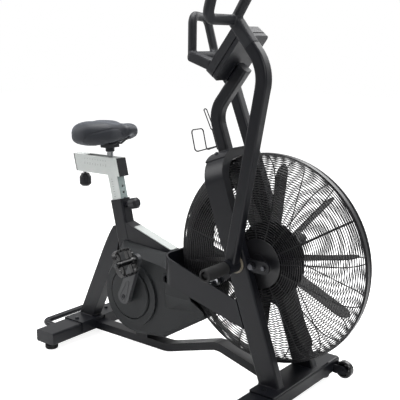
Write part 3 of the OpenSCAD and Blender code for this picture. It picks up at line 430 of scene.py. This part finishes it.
def lathe(form, centre, axis, profile, steps=32):
    """Adds a ring turned about an axis from a closed outline of radius and height, in millimetres."""
    u = axis.orthogonal().normalized()
    v = axis.cross(u)
    rings = []
    for a in angles(steps):
        out = u * math.cos(a) + v * math.sin(a)
        rings.append([centre + (out * r + axis * h) * MM for r, h in profile])
    loft(form, rings + rings[:1], caps=False)
    bmesh.ops.remove_doubles(form, verts=form.verts, dist=1e-6)


def turned(first, last, f):
    """Vector between two of equal length, swung from one to the other."""
    angle = first.angle(last)
    return (first * math.sin((1 - f) * angle) + last * math.sin(f * angle)) / math.sin(angle)


def rounded(points, radius, steps=8):
    """Open path whose inner corners are rounded."""
    path = [points[0]]
    for a, b, c in zip(points, points[1:], points[2:]):
        back, on = (a - b).normalized(), (c - b).normalized()
        half = back.angle(on) / 2
        reach = radius / math.tan(half)
        middle = (back + on).normalized() * (radius / math.sin(half))
        first = back * reach - middle
        last = on * reach - middle
        path.extend(b + middle + turned(first, last, k / steps) for k in range(steps + 1))
    path.append(points[-1])
    return path


def dense(points, step):
    """Points along straight runs between the given ones, about a step apart."""
    path = [points[0]]
    for a, b in zip(points, points[1:]):
        count = max(1, round((b - a).length / step))
        path.extend(a.lerp(b, (k + 1) / count) for k in range(count))
    return path


def tube_rings(path, radius, around=28):
    """Rings of a round tube along a path."""
    rings = []
    side = (path[1] - path[0]).orthogonal().normalized()
    for i, point in enumerate(path):
        way = (path[min(i + 1, len(path) - 1)] - path[max(i - 1, 0)]).normalized()
        side = (side - way * side.dot(way)).normalized()
        up = way.cross(side)
        rings.append([point + (side * math.cos(a) + up * math.sin(a)) * radius for a in angles(around)])
    return rings


def box_ring(centre, u, v, a, b, r):
    """Ring of points round a rounded rectangle: a and b are half its sides along u and v, r its corner radius."""
    ring = []
    for corner, (su, sv) in enumerate(((1, 1), (-1, 1), (-1, -1), (1, -1))):
        for degrees in range(90 * corner, 90 * corner + 91, 15):
            t = math.radians(degrees)
            ring.append(centre + u * (su * (a - r) + r * math.cos(t)) + v * (sv * (b - r) + r * math.sin(t)))
    return ring


def slab(form, centre, u, v, n, size):
    """Adds a box to a bmesh: centre in metres, size in millimetres along the unit axes u, v and n."""
    grid = Matrix([axis * (side * MM) for axis, side in zip((u, v, n), size)]).transposed().to_4x4()
    grid.translation = centre
    bmesh.ops.create_cube(form, size=1, matrix=grid)


def lean(degrees):
    """Unit vector in the middle plane, leaning forwards from upright."""
    return Vector((math.sin(math.radians(degrees)), 0, math.cos(math.radians(degrees))))


def on_face(node, place, out):
    """Point and normal on the outer face of a node, straight in from outside."""
    hit, point, normal, _ = node.ray_cast(place + out * OUTSIDE, -out)
    if not hit:
        raise RuntimeError(f"no face of {node.name} at {place}")
    return point, normal


class BIKE_OT_finishes(bpy.types.Operator):
    """Gives every solid of the bike the finish of its real material"""

    bl_idname = "bike.finishes"
    bl_label = "Finish the solids"

    def execute(self, context):
        chosen = {node: finish for finish, names in FINISH.items() for node in names.split()}
        for name, node in NODES.items():
            node.data.materials.clear()
            node.data.materials.append(finishes()[chosen.get(name, "coat")])
        return {"FINISHED"}


# Saddle, in millimetres: lengths from its rear, heights from the crown line, which is the top of its solid.

SADDLE_LENGTH = 280
SADDLE = (
    # from the rear, half width, underside of the lobes below the crown line, crown below the crown line
    (3, 60, 88, 34), (9, 84, 101, 23), (20, 98, 107, 16), (42, 106, 110, 11), (78, 107, 111, 9), (108, 100, 110, 8),
    (138, 84, 105, 9), (168, 66, 97, 12), (196, 53, 88, 13), (224, 47, 80, 9), (250, 43, 73, 9), (267, 36, 66, 14),
    (277, 25, 58, 23),
)
SADDLE_END = 276.9  # just inside the last station
SADDLE_INSET = 3  # left for the filling, which pushes the cover out again
SADDLE_STEPS, SADDLE_AROUND = 60, 56
# Powers that square off the section: at its sides, over the crown and under the lobes
SIDE_POWER, CROWN_POWER, LOBE_POWER = 0.6, 0.75, 0.5
VALLEY_DEPTH, VALLEY_WIDTH = 3, 16
PAN_LEVEL, PAN_SLOPE = -70, 0.158
TUCK_FROM, TUCK_WIDTH = 0.66, 12
FILL_FRAMES, FILL_PRESSURE, FILL_BENDING = 20, 4, 5
SADDLE_FAIR = 24
SEAM_STEP, SEAM_WIDTH, SEAM_DEPTH = 2, 7, 1.6
STITCH_PITCH = 1.6  # in stitches
STITCH_RISE, STITCH_LIFT, THREAD_RADIUS = 3.5, 0.25, 0.55
SEAMS = (
    # on one side: from the rear, out to the side, up from the crown line
    ((4, 56, -46), (16, 86, -56), (36, 104, -72), (58, 106, -94), (68, 98, -110)),
    ((92, 96, -108), (98, 103, -84), (110, 98, -60), (138, 80, -46), (168, 60, -36), (196, 46, -28), (222, 40, -26),
     (240, 38, -34), (252, 37, -46)),
)


def saddle_section(x):
    """Half width, underside and crown of the saddle at x from its rear, smoothly between the stations."""
    i = max(k for k in range(len(SADDLE) - 1) if SADDLE[k][0] <= x)
    f = (x - SADDLE[i][0]) / (SADDLE[i + 1][0] - SADDLE[i][0])
    rows = [SADDLE[min(max(i + k, 0), len(SADDLE) - 1)] for k in (-1, 0, 1, 2)]
    result = []
    for a, b, c, d in list(zip(*rows))[1:]:
        result.append(b + 0.5 * f * (c - a + f * (2 * a - 5 * b + 4 * c - d + f * (3 * (b - c) + d - a))))
    return result


def saddle_ring(x):
    """Points round the saddle at x from its rear, as x, y and z."""
    half, under, crown = saddle_section(min(x, SADDLE_END))
    half, under, crown = half - SADDLE_INSET, SADDLE_INSET - under, -crown - SADDLE_INSET
    middle = under + 0.5 * (crown - under)
    pan = PAN_LEVEL + PAN_SLOPE * (x - SADDLE_LENGTH / 2)
    ring = []
    for a in angles(SADDLE_AROUND):
        c, q = math.cos(a), math.sin(a)
        y = half * math.copysign(abs(c) ** SIDE_POWER, c)
        if q > 0:
            # A shallow valley runs along the middle of the crown.
            valley = VALLEY_DEPTH * math.exp(-((y / VALLEY_WIDTH) ** 2)) * q
            z = middle + (crown - middle) * q ** CROWN_POWER - valley
        else:
            z = middle - (middle - under) * abs(q) ** LOBE_POWER
            # The cover turns up round the edge of the pan.
            tuck = min(max((TUCK_FROM * half - abs(y)) / TUCK_WIDTH, 0), 1)
            z = max(z, z + (pan - z) * tuck * tuck * (3 - 2 * tuck))
        ring.append((x, y, z))
    return ring


class BIKE_OT_saddle(bpy.types.Operator):
    """Makes the padded saddle: a lofted cushion that is filled like a cloth cover, with sewn seams"""

    bl_idname = "bike.saddle"
    bl_label = "Make the saddle"

    def execute(self, context):
        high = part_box("saddle_pad")[1]
        rear, top = high.x - SADDLE_LENGTH * MM, high.z
        rings = []
        for s in range(SADDLE_STEPS + 1):
            ring = saddle_ring(SADDLE_INSET + (SADDLE_LENGTH - 2 * SADDLE_INSET) * s / SADDLE_STEPS)
            rings.append([(rear + x * MM, y * MM, top + z * MM) for x, y, z in ring])
        form = bmesh.new()
        loft(form, rings)
        bmesh.ops.recalc_face_normals(form, faces=form.faces)
        pad = mesh_piece("saddle_cushion", form, "vinyl", "saddle", smooth=True)
        self.fill(context, pad)
        self.sew(pad, Vector((rear, 0, top)))
        pad.data.shade_smooth()
        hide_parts("saddle_pad")
        return {"FINISHED"}

    def fill(self, context, pad):
        """Remeshes the cushion, blows it up a little as cloth, caps the movement and smooths it."""
        add_voxels(pad, sizes().voxel)
        bake(context, pad)
        start = [v.co.copy() for v in pad.data.vertices]
        cloth = pad.modifiers.new("cloth", "CLOTH")
        cloth.settings.use_pressure = True
        cloth.settings.uniform_pressure_force = FILL_PRESSURE
        cloth.settings.bending_stiffness = FILL_BENDING
        cloth.settings.effector_weights.gravity = 0
        for step in range(1, FILL_FRAMES + 1):
            context.scene.frame_set(step)
        bake(context, pad)
        context.scene.frame_set(1)
        for vertex, old in zip(pad.data.vertices, start):
            moved = vertex.co - old
            if moved.length > sizes().swell:
                vertex.co = old + moved.normalized() * sizes().swell
        add_fairing(pad, SADDLE_FAIR)
        pad.modifiers.new("subdivision", "SUBSURF").levels = 1
        bake(context, pad)

    def sew(self, pad, origin):
        """Presses the seams into the cover and lays stitches beside them."""
        lines = []
        for side in (-1, 1):
            for seam in SEAMS:
                points = [origin + Vector((x, side * y, z)) * MM for x, y, z in seam]
                lines.append([pad.closest_point_on_mesh(p)[1] for p in dense(points, SEAM_STEP * MM)])
        tree = KDTree(sum(len(line) for line in lines))
        for index, point in enumerate(p for line in lines for p in line):
            tree.insert(point, index)
        tree.balance()
        reach = SEAM_WIDTH * MM
        for vertex in pad.data.vertices:
            gap = tree.find(vertex.co)[2]
            if gap < reach:
                vertex.co -= vertex.normal * SEAM_DEPTH * MM * (1 - gap / reach) ** 2
        pad.data.update()
        stitches = []
        for line in lines:
            along, path = 0.0, []
            for a, b in zip(line, line[1:]):
                along += (b - a).length
                if along % (STITCH_PITCH * sizes().stitch) < sizes().stitch:
                    hit = pad.closest_point_on_mesh(b + UP * STITCH_RISE * MM)
                    path.append(hit[1] + hit[2] * STITCH_LIFT * MM)
                else:
                    if len(path) > 1:
                        stitches.append(path)
                    path = []
        bar_piece("saddle_stitches", stitches, THREAD_RADIUS * MM, "thread", "saddle")


# Handles, in millimetres from the arm's pivot and degrees of lean forwards.
# The arm runs straight up to a bend, and the stem of the handle goes on from there.

ARM_RUN, ARM_LEAN, ARM_BEND = 602, 11, 130
LEFT_ARM_REST = -32
STEM_LEAN, STEM_START = -39, 26
STEM = (21, 20, 8)  # half depth, half width, corner radius
STEM_RINGS = (1.6, 20, 40, 60, 80)
DOME_START, DOME_RISE, DOME_LEAST = 100, 19, 0.25
NECK = (19.5, 18.5, 6.5)  # as for the stem
NECK_LENGTH = 6
LOOP_FOOT, LOOP_WIDTH, LOOP_SIDE, LOOP_CORNER, GRIP_RADIUS = 102, 145, 150, 30, 17
LOOP_OVERLAP = 6
LOOP_INNER_LEAN, LOOP_OUTER_LEAN = 33, 16
HANDLE_FAIR = 6


class BIKE_OT_handles(bpy.types.Operator):
    """Makes both handles: a square stem that swells into a welded loop of round grip tube"""

    bl_idname = "bike.handles"
    bl_label = "Make the handles"

    def execute(self, context):
        along, across = lean(STEM_LEAN), lean(STEM_LEAN + 90)
        seam = ARM_RUN * lean(ARM_LEAN) + ARM_BEND * (across - lean(ARM_LEAN + 90)) + STEM_START * along
        for name, body, side, swing in (("right", "arm_r", -1, 0), ("left", "arm_l", 1, LEFT_ARM_REST)):
            middle, out = pivot(f"arm_{name}_swing"), NORTH * side
            turn = Matrix.Rotation(math.radians(swing), 3, "Y")
            form = bmesh.new()
            loft(form, self.stem(seam, along, across, out))
            loft(form, tube_rings(self.loop(seam + along * LOOP_FOOT, out), GRIP_RADIUS))
            bmesh.ops.recalc_face_normals(form, faces=form.faces)
            for vertex in form.verts:
                vertex.co = middle + turn @ vertex.co * MM
            grip = mesh_piece(f"grip_loop_{name}", form, "grip", body, smooth=True)
            add_voxels(grip, sizes().weld)
            add_fairing(grip, HANDLE_FAIR)
            bake(context, grip)
            form = bmesh.new()
            form.from_mesh(grip.data)
            # A narrower neck shows in the seam between the arm and the handle.
            neck = [box_ring(seam + along * s, across, out, *NECK) for s in (0, NECK_LENGTH)]
            loft(form, [[middle + turn @ p * MM for p in ring] for ring in neck])
            form.to_mesh(grip.data)
            form.free()
            grip.data.shade_smooth()
            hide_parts(f"handle_{name}")
        return {"FINISHED"}

    def stem(self, seam, along, across, out):
        """Rings of the square stem, whose end is domed round the foot of the loop."""
        depth, width, corner = STEM
        rings = [box_ring(seam + along * s, across, out, *STEM) for s in STEM_RINGS]
        for degrees in range(0, 90, 10):
            rise = math.sin(math.radians(degrees))
            grow = max(DOME_LEAST, math.cos(math.radians(degrees)))
            place = seam + along * (DOME_START + DOME_RISE * rise)
            rings.append(box_ring(place, across, out, depth * grow, width * grow, corner + corner * rise * grow))
        return rings

    def loop(self, root, out):
        """Path of the grip tube, from inside the stem round to it again."""
        far = root + out * LOOP_WIDTH
        outer, inner = far + LOOP_SIDE * lean(LOOP_OUTER_LEAN), root + LOOP_SIDE * lean(LOOP_INNER_LEAN)
        return rounded([root - out * LOOP_OVERLAP, far, outer, inner, root], LOOP_CORNER)


# Pedals, in millimetres from the middle of the pedal: fore and aft, out along the spindle, and up through the tread.

PEDAL_TILT = 65  # degrees
PEDAL_OUT = 177  # from the middle plane of the bike
CAGE_HALF, CAGE_WALL, CAGE_POWER = (53, 48), 6, 0.62
CAGE_STEPS, TOOTH_STEPS = 96, 6
TOOTH_TOP, TOOTH_GAP, TOOTH_FALL = 13.5, 10.0, 3
BARREL = ((7.4, -48), (14, -48), (14, -36), (11.5, -30), (11.5, 26), (13, 32), (13, 48), (7.4, 48))
RIB_FORE, RIB_OUT, RIB = 29, (-22, 22), (39, 5, 16)
PIN_FORE, PIN_OUT, PIN = 45, (-30, -10, 10, 30), (5, 5, 31)
PEDAL_EDGE = 0.8


class BIKE_OT_pedals(bpy.types.Operator):
    """Makes both pedals: a toothed cage round a bearing barrel, joined by thin ribs"""

    bl_idname = "bike.pedals"
    bl_label = "Make the pedals"

    def execute(self, context):
        u, n = lean(PEDAL_TILT + 90), lean(PEDAL_TILT)
        for name, body, side in (("right", "pedal_r", -1), ("left", "pedal_l", 1)):
            out = NORTH * side
            middle = pivot(f"pedal_{name}_spin")
            middle.y = side * PEDAL_OUT * MM
            form = bmesh.new()
            self.cage(form, middle, u, out, n)
            lathe(form, middle, out, BARREL)
            for fore in (-1, 1):
                for y in RIB_OUT:
                    slab(form, middle + (u * fore * RIB_FORE + out * y) * MM, u, out, n, RIB)
                for y in PIN_OUT:
                    slab(form, middle + (u * fore * PIN_FORE + out * y) * MM, u, out, n, PIN)
            bmesh.ops.recalc_face_normals(form, faces=form.faces)
            pedal = mesh_piece(f"cage_pedal_{name}", form, "pedal", body)
            edge = pedal.modifiers.new("edge", "BEVEL")
            edge.width, edge.segments, edge.limit_method = PEDAL_EDGE * MM, 2, "ANGLE"
            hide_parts(f"pedal_{name}")
        return {"FINISHED"}

    def cage(self, form, middle, u, out, n):
        """Adds the wall of the cage, whose teeth are lower at the ends."""
        rings = []
        for k, a in enumerate(angles(CAGE_STEPS)):
            c, q = math.cos(a), math.sin(a)
            fore, wide = math.copysign(abs(c) ** CAGE_POWER, c), math.copysign(abs(q) ** CAGE_POWER, q)
            tooth = k % TOOTH_STEPS < TOOTH_STEPS / 2
            tall = n * ((TOOTH_TOP if tooth else TOOTH_GAP) - TOOTH_FALL * abs(q) ** 4) * MM
            outer, inner = (
                middle + (u * (CAGE_HALF[0] - wall) * fore + out * (CAGE_HALF[1] - wall) * wide) * MM
                for wall in (0, CAGE_WALL)
            )
            rings.append([outer + tall, outer - tall, inner - tall, inner + tall])
        loft(form, rings + rings[:1], caps=False)


# Fittings, in millimetres: outlines of radius and height for turned pieces

SLEEVE = ((5.2, 0.3), (9, 0.3), (9.5, 1), (9.5, 6), (8.5, 7), (5.2, 7))
HUB_CAP = ((0.2, -3), (14, -3), (14, 0.4), (12.5, 1.4), (6, 1.8), (0.2, 1.9))
SCREW_RIM = ((4.2, -1.5), (7, -1.5), (7, 0.25), (6.4, 0.5), (5, 0.5), (4.2, -0.4))
SCREW_HEAD = ((0.2, -1.4), (4.3, -1.4), (4.3, -0.6), (1.6, -0.5), (1.4, -1.2), (0.2, -1.2))
CRANK_CAP = ((0.2, -1), (9, -1), (9, 1.4), (8, 2.2), (4.5, 2.2), (4, 1.2), (0.2, 1.2))
COVER_SCREWS = ((-440, 406), (-332, 197), (-655, 390), (-500, 112))  # forwards from the fan axle, up
# Teardrop on the crank: reach, radius at each end, cosine where one end gives way to the other
TEARDROP_REACH, TEARDROP_SMALL, TEARDROP_LARGE, TEARDROP_CHANGE = 66, 6, 15, 0.15
TEARDROP_STEPS, TEARDROP_LIFT, TEARDROP_RADIUS = 48, 0.3, 1.0
CRANK_FACE_FROM = 13  # off the spindle, on the face of the crank itself


class BIKE_OT_fittings(bpy.types.Operator):
    """Adds small fittings: the sleeve over the slide knob, wheel hub caps, crank trim and cover screws"""

    bl_idname = "bike.fittings"
    bl_label = "Add the fittings"

    def execute(self, context):
        knob = pivot("slide_lock_turn")
        knob.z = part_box("saddle_slide")[0].z
        form = bmesh.new()
        lathe(form, knob, -UP, SLEEVE)
        mesh_piece("knob_sleeve", form, "steel", "slide_lock")
        for name, body, side in (("right", "wheel_r", -1), ("left", "wheel_l", 1)):
            low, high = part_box(f"wheel_{name}")
            hub = pivot(f"wheel_{name}_spin")
            hub.y = high.y if side > 0 else low.y
            form = bmesh.new()
            lathe(form, hub, NORTH * side, HUB_CAP)
            mesh_piece(f"hub_cap_{name}", form, "pedal", body)
        self.crank_trim()
        self.cover_screws()
        return {"FINISHED"}

    def crank_trim(self):
        """Adds a bolt cap and a raised teardrop rim to the face of each crank."""
        caps, rims = bmesh.new(), []
        for name, side in (("right", -1), ("left", 1)):
            crank, out = NODES[f"crank_{name}"], NORTH * side
            along = pivot(f"pedal_{name}_spin") - CRANK
            along.y = 0
            along.normalize()
            across = out.cross(along)
            rim = []
            for a in angles(TEARDROP_STEPS):
                far = math.cos(a) > TEARDROP_CHANGE
                reach, radius = (TEARDROP_REACH, TEARDROP_SMALL) if far else (0, TEARDROP_LARGE)
                place = CRANK + (along * (reach + radius * math.cos(a)) + across * radius * math.sin(a)) * MM
                rim.append(on_face(crank, place, out)[0] + out * TEARDROP_LIFT * MM)
            rims.append(rim)
            centre = CRANK.copy()
            centre.y = on_face(crank, CRANK + along * CRANK_FACE_FROM * MM, out)[0].y
            lathe(caps, centre, out, CRANK_CAP)
        bar_piece("crank_rims", rims, TEARDROP_RADIUS * MM, "crank", "crank", closed=True)
        mesh_piece("crank_caps", caps, "plastic", "crank")

    def cover_screws(self):
        """Adds screws in raised rims to the face of each drive cover."""
        rims, heads = bmesh.new(), bmesh.new()
        for name, side in (("right", -1), ("left", 1)):
            for x, z in COVER_SCREWS:
                place, face = on_face(NODES[f"cover_{name}"], at(x, 0, z), NORTH * side)
                lathe(rims, place, face, SCREW_RIM, steps=24)
                lathe(heads, place, face, SCREW_HEAD, steps=12)
        mesh_piece("screw_rims", rims, "cover", "frame")
        mesh_piece("screw_heads", heads, "plastic", "frame")


# Seat scales, in millimetres: ticks of two lengths in turn, from the rear end of the slide and up the post

TICK_THICK = 0.3
SLIDE_TICKS, SLIDE_TICK_FIRST, SLIDE_TICK_PITCH, SLIDE_TICK_UP = 9, 62, 15, 36
SLIDE_TICK_TALL = (10, 6)
UPPER_ROW_UP, UPPER_ROW_TALL = 19, 5
POST_TOP = (-719.5, 0, 607)  # where the post comes out of the seat tube, from the fan axle
POST_TICKS, POST_TICK_FIRST, POST_TICK_PITCH, POST_TICK_BACK = 8, 12, 10, 6
POST_TICK_WIDE = (9, 6)


class BIKE_OT_marks(bpy.types.Operator):
    """Adds the printed ticks of the seat scales"""

    bl_idname = "bike.marks"
    bl_label = "Print the seat scales"

    def execute(self, context):
        tick = sizes().tick / MM
        low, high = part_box("saddle_slide")
        form = bmesh.new()
        for side in (low.y, high.y):
            for i in range(SLIDE_TICKS):
                place = Vector((low.x, side, low.z))
                place += (EAST * (SLIDE_TICK_FIRST + i * SLIDE_TICK_PITCH) + UP * SLIDE_TICK_UP) * MM
                slab(form, place, EAST, NORTH, UP, (tick, TICK_THICK, SLIDE_TICK_TALL[i % 2]))
                slab(form, place + UP * UPPER_ROW_UP * MM, EAST, NORTH, UP, (tick, TICK_THICK, UPPER_ROW_TALL))
        mesh_piece("slide_ticks", form, "mark", "seat")
        axis = Vector(JOINTS["seat_height"]["axis"])
        cross = Vector((axis.z, 0, -axis.x))
        low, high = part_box("seat_post")
        form = bmesh.new()
        for side in (low.y, high.y):
            for i in range(POST_TICKS):
                place = at(*POST_TOP) + axis * (POST_TICK_FIRST + i * POST_TICK_PITCH) * MM
                place -= cross * POST_TICK_BACK * MM
                place.y = side
                slab(form, place, cross, NORTH, axis, (POST_TICK_WIDE[i % 2], TICK_THICK, tick))
        mesh_piece("post_ticks", form, "mark", "seat")
        return {"FINISHED"}


# Weld beads: millimetres forwards from the fan axle, left and up, with the half sides and corner radius of each tube

MAST_LEAN, MAST_FOOT, MAST_BACK, MAST_RUN = 19, (-57, 0, 488), 15, 383.6
MAST_BEAD = (22.5, 20, 8)
STAY_BEAD = (-391, 0, 398), (25, 31, 3)
LEG_BEAD = (82, 110, 84), (42.3, 18, 7)
LIFT_BEAD = (-955, 148, 53), (12, 12, 12)
REAR_BEAD = (-913, 0, 82), (37.8, 25, 3)


class BIKE_OT_beads(bpy.types.Operator):
    """Lays weld beads where frame tubes meet"""

    bl_idname = "bike.beads"
    bl_label = "Lay the weld beads"

    def execute(self, context):
        fore, rise = lean(90 - MAST_LEAN), lean(-MAST_LEAN)
        mast = at(*MAST_FOOT) - fore * MAST_BACK * MM + rise * MAST_RUN * MM
        loops = [(mast, fore, NORTH, MAST_BEAD), (at(*STAY_BEAD[0]), NORTH, UP, STAY_BEAD[1])]
        for side in (-1, 1):
            for (place, tube), u, v in ((LEG_BEAD, EAST, NORTH), (LIFT_BEAD, NORTH, UP)):
                loops.append((at(place[0], side * place[1], place[2]), u, v, tube))
        loops.append((at(*REAR_BEAD[0]), EAST, NORTH, REAR_BEAD[1]))
        paths = [box_ring(centre, u * MM, v * MM, *tube) for centre, u, v, tube in loops]
        bar_piece("weld_beads", paths, sizes().bead, "coat", "frame", closed=True)
        return {"FINISHED"}


# Studio: lamps as name, place and size in metres, and power in watts

LAMPS = (
    ("key", (3.4, -1.6, 2.8), 2.2, 62),
    ("fill", (-3.2, -1.8, 2.4), 2.6, 62),
    ("top", (-0.2, 0.2, 3.6), 2.6, 165),
    ("rim", (0.4, 3.0, 2.4), 2.4, 55),
)
LAMP_AIM = Vector((0, 0, 0.6))
WHITE = (1, 1, 1, 1)
FLOOR_HALF = 14  # metres
FLOOR_PAPER, FLOOR_SHADOW, FLOOR_GLOW = 0.8, 0.5, 0.86
SWEEP_WAY, SWEEP_FROM, SWEEP_TO = (-0.5, 0.87, 0), -0.3, 0.5
ROOM_LEVEL, SWEEP_LEVEL = 0.18, 0.7
CAMERA_PLACE = (1347.3, -2093.8, 1212.0)  # millimetres, from the fan axle
CAMERA_DOWN, CAMERA_TURN, SENSOR = 11.8, 38.4, 36


class BIKE_OT_stage(bpy.types.Operator):
    """Sets the pale floor, the studio lamps, the world and the camera"""

    bl_idname = "bike.stage"
    bl_label = "Set the studio"

    def execute(self, context):
        context.scene.view_settings.view_transform = "Standard"
        self.floor(context.scene)
        self.world(context.scene)
        for name, place, size, power in LAMPS:
            lamp = bpy.data.lights.new(name, "AREA")
            lamp.shape, lamp.size, lamp.energy = "DISK", size, power
            holder = bpy.data.objects.new(name, lamp)
            holder.location = place
            holder.rotation_euler = (LAMP_AIM - Vector(place)).to_track_quat("-Z", "Y").to_euler()
            context.scene.collection.objects.link(holder)
        eye = bpy.data.cameras.new("studio_camera")
        eye.sensor_width, eye.lens = SENSOR, sizes().lens
        holder = bpy.data.objects.new("studio_camera", eye)
        holder.location = at(*CAMERA_PLACE)
        holder.rotation_euler = (math.radians(90 - CAMERA_DOWN), 0, math.radians(CAMERA_TURN))
        context.scene.collection.objects.link(holder)
        context.scene.camera = holder
        return {"FINISHED"}

    def floor(self, scene):
        """Lays white paper that glows where it is seen, so that it runs into the backdrop."""
        form = bmesh.new()
        bmesh.ops.create_grid(form, x_segments=1, y_segments=1, size=FLOOR_HALF)
        mesh = bpy.data.meshes.new("studio_floor")
        form.to_mesh(mesh)
        form.free()
        floor = bpy.data.objects.new("studio_floor", mesh)
        scene.collection.objects.link(floor)
        material, tree, out = blank("pale_studio_paper")
        paper, dim = (
            add(tree, "ShaderNodeBsdfDiffuse", {"Color": shade(WHITE[:3], level)}).outputs[0]
            for level in (FLOOR_PAPER, FLOOR_SHADOW)
        )
        glow = add(tree, "ShaderNodeEmission", {"Color": WHITE, "Strength": FLOOR_GLOW}).outputs[0]
        lit = add(tree, "ShaderNodeAddShader", {0: glow, 1: dim}).outputs[0]
        pick = add(tree, "ShaderNodeMixShader", {0: self.seen(tree), 1: paper, 2: lit})
        tree.links.new(pick.outputs[0], out.inputs["Surface"])
        mesh.materials.append(material)

    def world(self, scene):
        """Stands a white sweep behind the bike and leaves the room in front dim."""
        scene.world = bpy.data.worlds.new("studio_world")
        scene.world.use_nodes = True
        tree = scene.world.node_tree
        tree.nodes.clear()
        way = add(tree, "ShaderNodeTexCoord").outputs["Generated"]
        back = add(tree, "ShaderNodeVectorMath", {0: way, 1: SWEEP_WAY}, operation="DOT_PRODUCT")
        level = add(tree, "ShaderNodeMapRange", {
            "Value": back.outputs["Value"],
            "From Min": SWEEP_FROM,
            "From Max": SWEEP_TO,
            "To Min": ROOM_LEVEL,
            "To Max": SWEEP_LEVEL,
        })
        light, white = (
            add(tree, "ShaderNodeBackground", {"Color": WHITE, "Strength": strength}).outputs[0]
            for strength in (level.outputs["Result"], 1.0)
        )
        pick = add(tree, "ShaderNodeMixShader", {0: self.seen(tree), 1: light, 2: white})
        add(tree, "ShaderNodeOutputWorld", {"Surface": pick.outputs[0]})

    def seen(self, tree):
        """1 for rays that show the backdrop: from the camera or through glass."""
        path = add(tree, "ShaderNodeLightPath").outputs
        both = add(tree, "ShaderNodeMath", operation="MAXIMUM", inputs={
            0: path["Is Camera Ray"], 1: path["Is Transmission Ray"],
        })
        return both.outputs[0]


STEPS = (
    BIKE_OT_finishes, BIKE_OT_saddle, BIKE_OT_handles, BIKE_OT_pedals, BIKE_OT_fittings, BIKE_OT_marks, BIKE_OT_beads,
    BIKE_OT_stage,
)


class BIKE_PT_dressing(bpy.types.Panel):
    """Lists the steps that dress the bike"""

    bl_idname = "BIKE_PT_dressing"
    bl_label = "Air bike"
    bl_space_type = "VIEW_3D"
    bl_region_type = "UI"
    bl_category = "Air bike"

    def draw(self, context):
        for step in STEPS:
            self.layout.operator(step.bl_idname)


CLASSES = (BikeColours, BikeSizes, *STEPS, BIKE_PT_dressing)


def register():
    for item in CLASSES:
        bpy.utils.register_class(item)
    bpy.types.Scene.bike_colours = bpy.props.PointerProperty(type=BikeColours)
    bpy.types.Scene.bike_sizes = bpy.props.PointerProperty(type=BikeSizes)


def unregister():
    del bpy.types.Scene.bike_sizes
    del bpy.types.Scene.bike_colours
    for item in reversed(CLASSES):
        bpy.utils.unregister_class(item)


def main():
    register()
    for step in STEPS:
        group, name = step.bl_idname.split(".")
        getattr(getattr(bpy.ops, group), name)()


if __name__ == "__main__":
    main()
